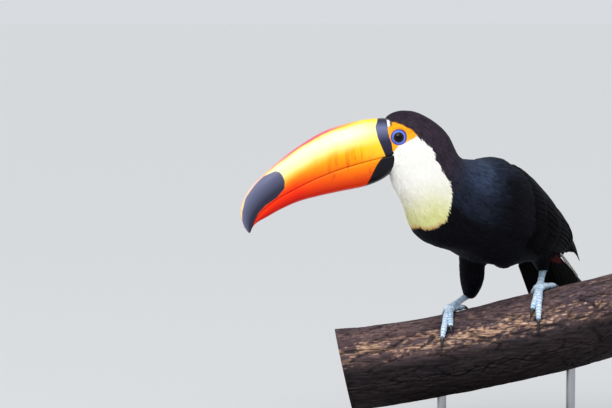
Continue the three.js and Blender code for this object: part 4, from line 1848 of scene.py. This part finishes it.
@dataclass(frozen=True)
class Horn:
    """The bill's thin keratin sheath: smooth and waxy, with colour that lies deep in it.

    Each row of colours runs from the gape to the ridge or keel, as (share of the way, hex colour). The upper
    half's rows paint in a pale reflection of the sky and a highlight on the dark band.
    """

    name: str
    root: tuple[tuple[float, str], ...]
    tip: tuple[tuple[float, str], ...]
    ink: tuple[tuple[float, str], ...]
    stain_rise: float  # how far from the gape the flame marks reach
    stain: float  # how strong they are
    ridged: bool  # whether it carries the slate spot and the pink ridge
    roughness: float = 0.3

    def build(self) -> Material:
        """Makes the material of one half.

        Returns:
            The material.
        """
        recipe = Recipe(Surface(self.name, self.roughness, ior=1.54, specular=0.14, coat=0.04,
                                coat_roughness=0.18, subsurface=0.03))
        add, here = recipe.add, recipe.add("here")
        rise, reach, band = recipe.marks("rise", "reach", "band")
        wander = add("times", add("minus", add("noise", here, 60.0, 3.0), 0.5), 0.12)
        level = add("plus", rise, wander)
        toward_tip = add("range", add("plus", reach, add("times", wander, 60.0)), 50, 132)
        root, tip, ink = (add("ramp", level, ramp=row) for row in (self.root, self.tip, self.ink))
        growth_way = add("turned", here, (1.0, 0.18, 0.18))
        streaks = add("noise", growth_way, 210.0, 2.0, 0.6)
        flank = add("times", add("range", reach, 34, 52), add("range", reach, 118, 84))
        near_gape = add("times", add("range", rise, self.stain_rise, 0.1), flank)
        stained = add("times", near_gape, add("range", streaks, 0.52, 0.6, 0.0, self.stain))
        colour = recipe.layers(root, (toward_tip, tip), (stained, "#d84a04"))
        if self.ridged:
            from_ridge, spot = recipe.marks("ridge", "spot")
            ridge = add("times", add("range", add("minus", from_ridge, wander), 0.27, 0.17),
                        add("range", reach, 44, 84))
            slate = add("mix", add("range", rise, 0.25, 0.85), "#2a2b3d", "#686c8a")
            pink = add("mix", add("range", reach, 120, 175), "#dd5672", "#f3c9b4")
            colour = recipe.layers(colour, (add("range", reach, 62, 36, 0.0, 0.5), "#ffd83c"),
                                   (add("range", spot, -0.5, 0.6), slate), (ridge, pink))
        colour = recipe.layers(colour, (add("range", band, -0.35, 0.35), ink))
        return recipe.finish(colour, add("noise", growth_way, 420.0, 3.0), 0.05, 0.001)


UPPER_HORN = Horn(
    "bill horn, upper",
    # the pale cream stops in the middle of the root and tip rows are a painted reflection of the sky on the
    # yellow horn
    root=((0.0, "#fb8c00"), (0.18, "#ffab00"), (0.34, "#ffc41c"), (0.5, "#ffee90"), (0.68, "#fffad8"),
          (0.84, "#fff8c4"), (0.93, "#ffe238"), (1.0, "#f6c800")),
    tip=((0.0, "#f02406"), (0.14, "#fa4606"), (0.28, "#ff7c10"), (0.42, "#ffc244"), (0.56, "#fff0a4"),
         (0.85, "#fff6c2"), (0.94, "#ffd25c"), (1.0, "#ee7088")),
    # the blue-grey stop near the top of the ink row is a painted highlight on the dark band
    ink=((0.0, "#171722"), (0.4, "#2b2b42"), (0.72, "#62668c"), (0.9, "#33344c"), (1.0, "#17171f")),
    stain_rise=0.5, stain=0.55, ridged=True)
LOWER_HORN = Horn(
    "bill horn, lower",
    root=((0.0, "#ff9c00"), (0.3, "#ff7c00"), (0.65, "#f84c00"), (1.0, "#e22602")),
    tip=((0.0, "#fb3a04"), (0.4, "#f02202"), (1.0, "#d81002")),
    ink=((0.0, "#0e0e16"), (0.3, "#12121c"), (1.0, "#08080c")),
    stain_rise=0.75, stain=0.8, ridged=False)


class WetEye:
    """The eye: a wet clear cornea over a nearly black iris, so that it reads as one glossy dark disc."""

    # Colours by the degrees from the line of sight, as shares of EDGE: the pupil, the iris and its dark rim.
    EDGE = 60.0
    RINGS = ((0.0, "#020203"), (0.42, "#030303"), (0.46, "#23130b"), (0.66, "#2f1b10"), (0.74, "#120b09"),
             (1.0, "#0b0808"))

    def build(self) -> Material:
        """Makes the material.

        Returns:
            The material.
        """
        recipe = Recipe(Surface("eye, wet cornea", 0.05, ior=1.376, specular=0.2, coat=0.15,
                                coat_roughness=0.02))
        off, = recipe.marks("off")
        return recipe.finish(recipe.add("ramp", recipe.add("over", off, self.EDGE), ramp=self.RINGS))


class LidSkin:
    """The ring of bare lid: fine folds of blue skin with a dull, slightly moist surface."""

    # Colours from the eye outwards.
    RINGS = ((0.0, "#120e14"), (0.1, "#2b2f7a"), (0.3, "#6f98ee"), (0.5, "#4a68de"), (0.74, "#2d36ae"),
             (0.97, "#4a3a80"), (1.0, "#9a5a30"))

    def build(self) -> Material:
        """Makes the material.

        Returns:
            The material.
        """
        recipe = Recipe(Surface("lid skin, blue", 0.42, subsurface=0.1, coat=0.1, coat_roughness=0.3))
        add, (lid,) = recipe.add, recipe.marks("lid")
        grain = add("noise", add("here"), 900.0, 3.0)
        colour = recipe.layers(add("ramp", lid, ramp=self.RINGS),
                               (add("range", grain, 0.4, 0.75, 0.0, 0.35), "#2a2f8c"))
        return recipe.finish(colour, grain, 0.35, 0.0004)


class PlatedSkin:
    """The feet: pale blue horny plates with darker creases between them."""

    def build(self) -> Material:
        """Makes the material.

        Returns:
            The material.
        """
        recipe = Recipe(Surface("foot skin, plated", 0.48, coat=0.1, coat_roughness=0.35))
        add, here = recipe.add, recipe.add("here")
        upper, groove = recipe.marks("upper", "groove")
        cloud = add("noise", here, 260.0, 4.0)
        beads = add("cells", here, 900.0)
        under = add("range", upper, 0.1, -0.5)
        colour = recipe.layers("#9fc0de", (add("range", cloud, 0.35, 0.7), "#e2edf6"),
                               (add("times", under, 0.6), "#5f7f9c"), (add("times", groove, 0.85), "#39465a"))
        beaded = add("times", beads, add("plus", add("times", under, 0.8), 0.15))
        return recipe.finish(colour, add("minus", beaded, add("times", groove, 0.4)), 0.4, 0.0006)


class ClawHorn:
    """Claws: dense dark horn, a little paler at the base where it meets the toe."""

    def build(self) -> Material:
        """Makes the material.

        Returns:
            The material.
        """
        recipe = Recipe(Surface("claw horn", 0.34, ior=1.54, coat=0.2, coat_roughness=0.2))
        add, (tip,) = recipe.add, recipe.marks("tip")
        grain = add("noise", add("here"), 500.0, 3.0)
        colour = recipe.layers("#0b0b0f", (add("range", grain, 0.3, 0.7), "#1c1d23"),
                               (add("range", tip, 0.0, 0.22, 0.8, 0.0), "#7f9ab2"))
        return recipe.finish(colour, grain, 0.2, 0.0003)


@dataclass(frozen=True)
class WeatheredWood:
    """Old hardwood with its bark worn off: dark grey-brown and cracked, and tan where it has flaked, with
    painted shade darkening its lower sides.
    """

    slope: float  # the log's, in degrees
    grain_mm: float = 1.1

    def build(self) -> Material:
        """Makes the material, with its grain along the log.

        Returns:
            The material.
        """
        recipe = Recipe(Surface("weathered hardwood", 0.78, specular=0.15))
        add, here = recipe.add, recipe.add("here")
        under, worn, crack, radial = recipe.marks("under", "worn", "crack", "radial")
        turned = add("turned", here, (0.09, 1.0, 1.0), (0.0, radians(self.slope), 0.0))
        grain = add("noise", turned, 0.5 / (self.grain_mm * MM), 5.0, 0.25, 0.62)
        broad = add("noise", turned, 55.0, 4.0, 0.5)
        cloud = add("noise", here, 26.0, 4.0)
        flecks = add("noise", turned, 900.0, 4.0)
        brown = add("mix", add("range", grain, 0.36, 0.66), "#3a2b2e", "#7e6460")
        buff = add("mix", add("range", grain, 0.4, 0.62), "#80604f", "#d4ae90")
        year = add("sine", add("times", add("plus", radial, add("times", cloud, 0.12)), 84.0))
        sawn = recipe.layers("#9c7452", (add("range", year, 0.2, 1.0), "#5f4029"),
                             (add("range", radial, 0.6, 0.25, 0.0, 0.5), "#4e3322"))
        # the log's lower sides go near-black as painted shade
        colour = recipe.layers(
            "#2c2226", (add("range", grain, 0.35, 0.68), "#66555a"),
            (add("range", broad, 0.42, 0.66, 0.0, 0.75), brown),
            (add("range", cloud, 0.5, 0.72, 0.0, 0.5), "#2a2433"), (add("times", under, 0.86), "#0b0a0d"),
            (add("times", worn, add("range", flecks, 0.4, 0.52, 0.1, 1.0)), buff),
            (add("times", crack, 0.8), "#100b0b"), (add("range", radial, 0.985, 0.96), sawn))
        return recipe.finish(colour, grain, 0.75, 0.0011, roughness=add("range", grain, 0.3, 0.7, 0.86, 0.6))


class StainedBoard:
    """The stand's base: beech, stained dark and satin lacquered, with fine straight grain."""

    def build(self) -> Material:
        """Makes the material.

        Returns:
            The material.
        """
        recipe = Recipe(Surface("stained beech", 0.42, coat=0.35, coat_roughness=0.25))
        add = recipe.add
        grain = add("noise", add("turned", add("here"), (0.07, 1.0, 1.0)), 420.0, 4.0, 0.3)
        colour = add("mix", add("range", grain, 0.35, 0.68), "#1c120d", "#3d281b")
        return recipe.finish(colour, grain, 0.12, 0.0004)


class BrushedSteel:
    """The stand's rods: stainless steel, brushed round, with a soft stretched highlight."""

    def build(self) -> Material:
        """Makes the material.

        Returns:
            The material.
        """
        recipe = Recipe(Surface("brushed stainless steel", 0.3, metallic=1.0))
        add = recipe.add
        lines = add("noise", add("turned", add("here"), (0.1, 0.1, 1.0)), 2600.0, 2.0)
        return recipe.finish(add("mix", lines, "#9b9da1", "#c4c6c9"),
                             roughness=add("range", lines, 0.3, 0.7, 0.24, 0.4))


# ---- the studio
@dataclass(frozen=True)
class Studio:
    """A pale floor, soft light and the camera."""

    target: Triple = (-0.2095, 0.0, 0.271)
    distance: float = 2.6
    tilt: float = 4.5
    lens: float = 141.6
    sensor: float = 36.0
    floor_half: float = 120.0

    def build(self) -> None:
        """Sets the stage, and the camera at a little above the bird's level."""
        camera_data = bpy.data.cameras.new("studio camera")
        camera_data.lens = self.lens
        camera_data.sensor_width = self.sensor
        camera_data.clip_end = 400
        camera = in_scene("studio camera", camera_data)
        turn = radians(self.tilt)
        camera.location = Vector(self.target) + Vector((0, -cos(turn), sin(turn))) * self.distance
        camera.rotation_euler = (pi / 2 - turn, 0, 0)
        bpy.context.scene.camera = camera

        bm = bmesh.new()
        bmesh.ops.create_grid(bm, x_segments=1, y_segments=1, size=self.floor_half)
        mesh = bpy.data.meshes.new("floor")
        bm.to_mesh(mesh)
        bm.free()
        floor = in_scene("floor", mesh)
        mesh.materials.append(Recipe(Surface("painted studio floor", 0.8)).finish("#c8c9c9"))

        world = bpy.data.worlds.new("studio")
        world.use_nodes = True
        bpy.context.scene.world = world
        back = world.node_tree.nodes["Background"]
        back.inputs[0].default_value = hex_colour("#e2e5ea")
        back.inputs[1].default_value = 0.9
        sun_data = bpy.data.lights.new("overcast key", "SUN")
        sun_data.energy = 1.9
        sun_data.angle = radians(50)
        sun = in_scene("overcast key", sun_data)
        sun.rotation_euler = (radians(38), radians(-16), 0)
        self.lamp("fill", (-1.5, -2.0, 1.9), 0.8, 15)
        bpy.context.scene.view_settings.view_transform = "Standard"

    def lamp(self, name: str, place: Triple, size: float, power: float,
             colour: str = "#fffaf2") -> None:
        """Adds a square soft lamp that faces the bird.

        Args:
            name: Its name.
            place: Where it stands, in metres.
            size: Its side in metres.
            power: Its power in watts.
            colour: Its colour as a hex code.
        """
        data = bpy.data.lights.new(name, "AREA")
        data.size = size
        data.energy = power
        data.color = hex_colour(colour)[:3]
        lamp = in_scene(name, data)
        lamp.location = place
        aim = Vector((-0.05, 0, 0.25)) - Vector(place)
        lamp.rotation_euler = aim.to_track_quat("-Z", "Y").to_euler()


# ---- the whole bird
def cover_tree(pieces: Sequence[Piece]) -> BVHTree:
    """Joins pieces' faces in one tree for ray casts.

    Args:
        pieces: The pieces.

    Returns:
        The tree, in millimetres.
    """
    points, faces = [], []
    for piece in pieces:
        start = len(points)
        points += [Vector(p) for p in vertex_places(piece.data)]
        faces += [[start + i for i in polygon.vertices] for polygon in piece.data.polygons]
    return BVHTree.FromPolygons(points, faces)


def main() -> None:
    """Builds the bird on its perch, the stand and the studio."""
    logging.basicConfig(level=logging.INFO, format="%(name)s: %(message)s")
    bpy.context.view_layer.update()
    Studio().build()
    spine = Spine()
    markings, lie = Markings(spine), Lie(spine)
    plumage = Plumage().build()
    vane = Vane("flight feather, black", "#020203", "#07070b", "#0f0c0b").build()
    white = Vane("covert, white", "#dcd8cc", "#f7f5ee", "#ffffff", 0.6, 0.1).build()
    # the red coverts' colours are darkened as painted shade, since they lie under the body
    red = Vane("covert, red", "#3c0804", "#6e1108", "#7c1c0e", 0.6, 0.1).build()
    wings = [Wing(1), Wing(-1)]

    bill = Bill()
    skin = Skin(markings, lie).build([bill.add_core] + [wing.add_arm for wing in wings], plumage)
    horn = bill.build(UPPER_HORN.build(), LOWER_HORN.build())
    covers = [wing.build(vane) for wing in wings]
    Tail().build(vane, white, red)
    Coat(skin, markings, lie, cover_tree(covers + horn)).build(plumage)
    wet, lid = WetEye().build(), LidSkin().build()
    for side in (1, -1):
        Eye(side).build(skin, wet, lid)
    log = Log()
    log.build(WeatheredWood(log.slope).build())
    plated, claw = PlatedSkin().build(), ClawHorn().build()
    for plan in LEGS:
        Foot(plan, log).build(plated, claw)
    Stand().build(StainedBoard().build(), BrushedSteel().build(), log)


if __name__ == "__main__":
    main()
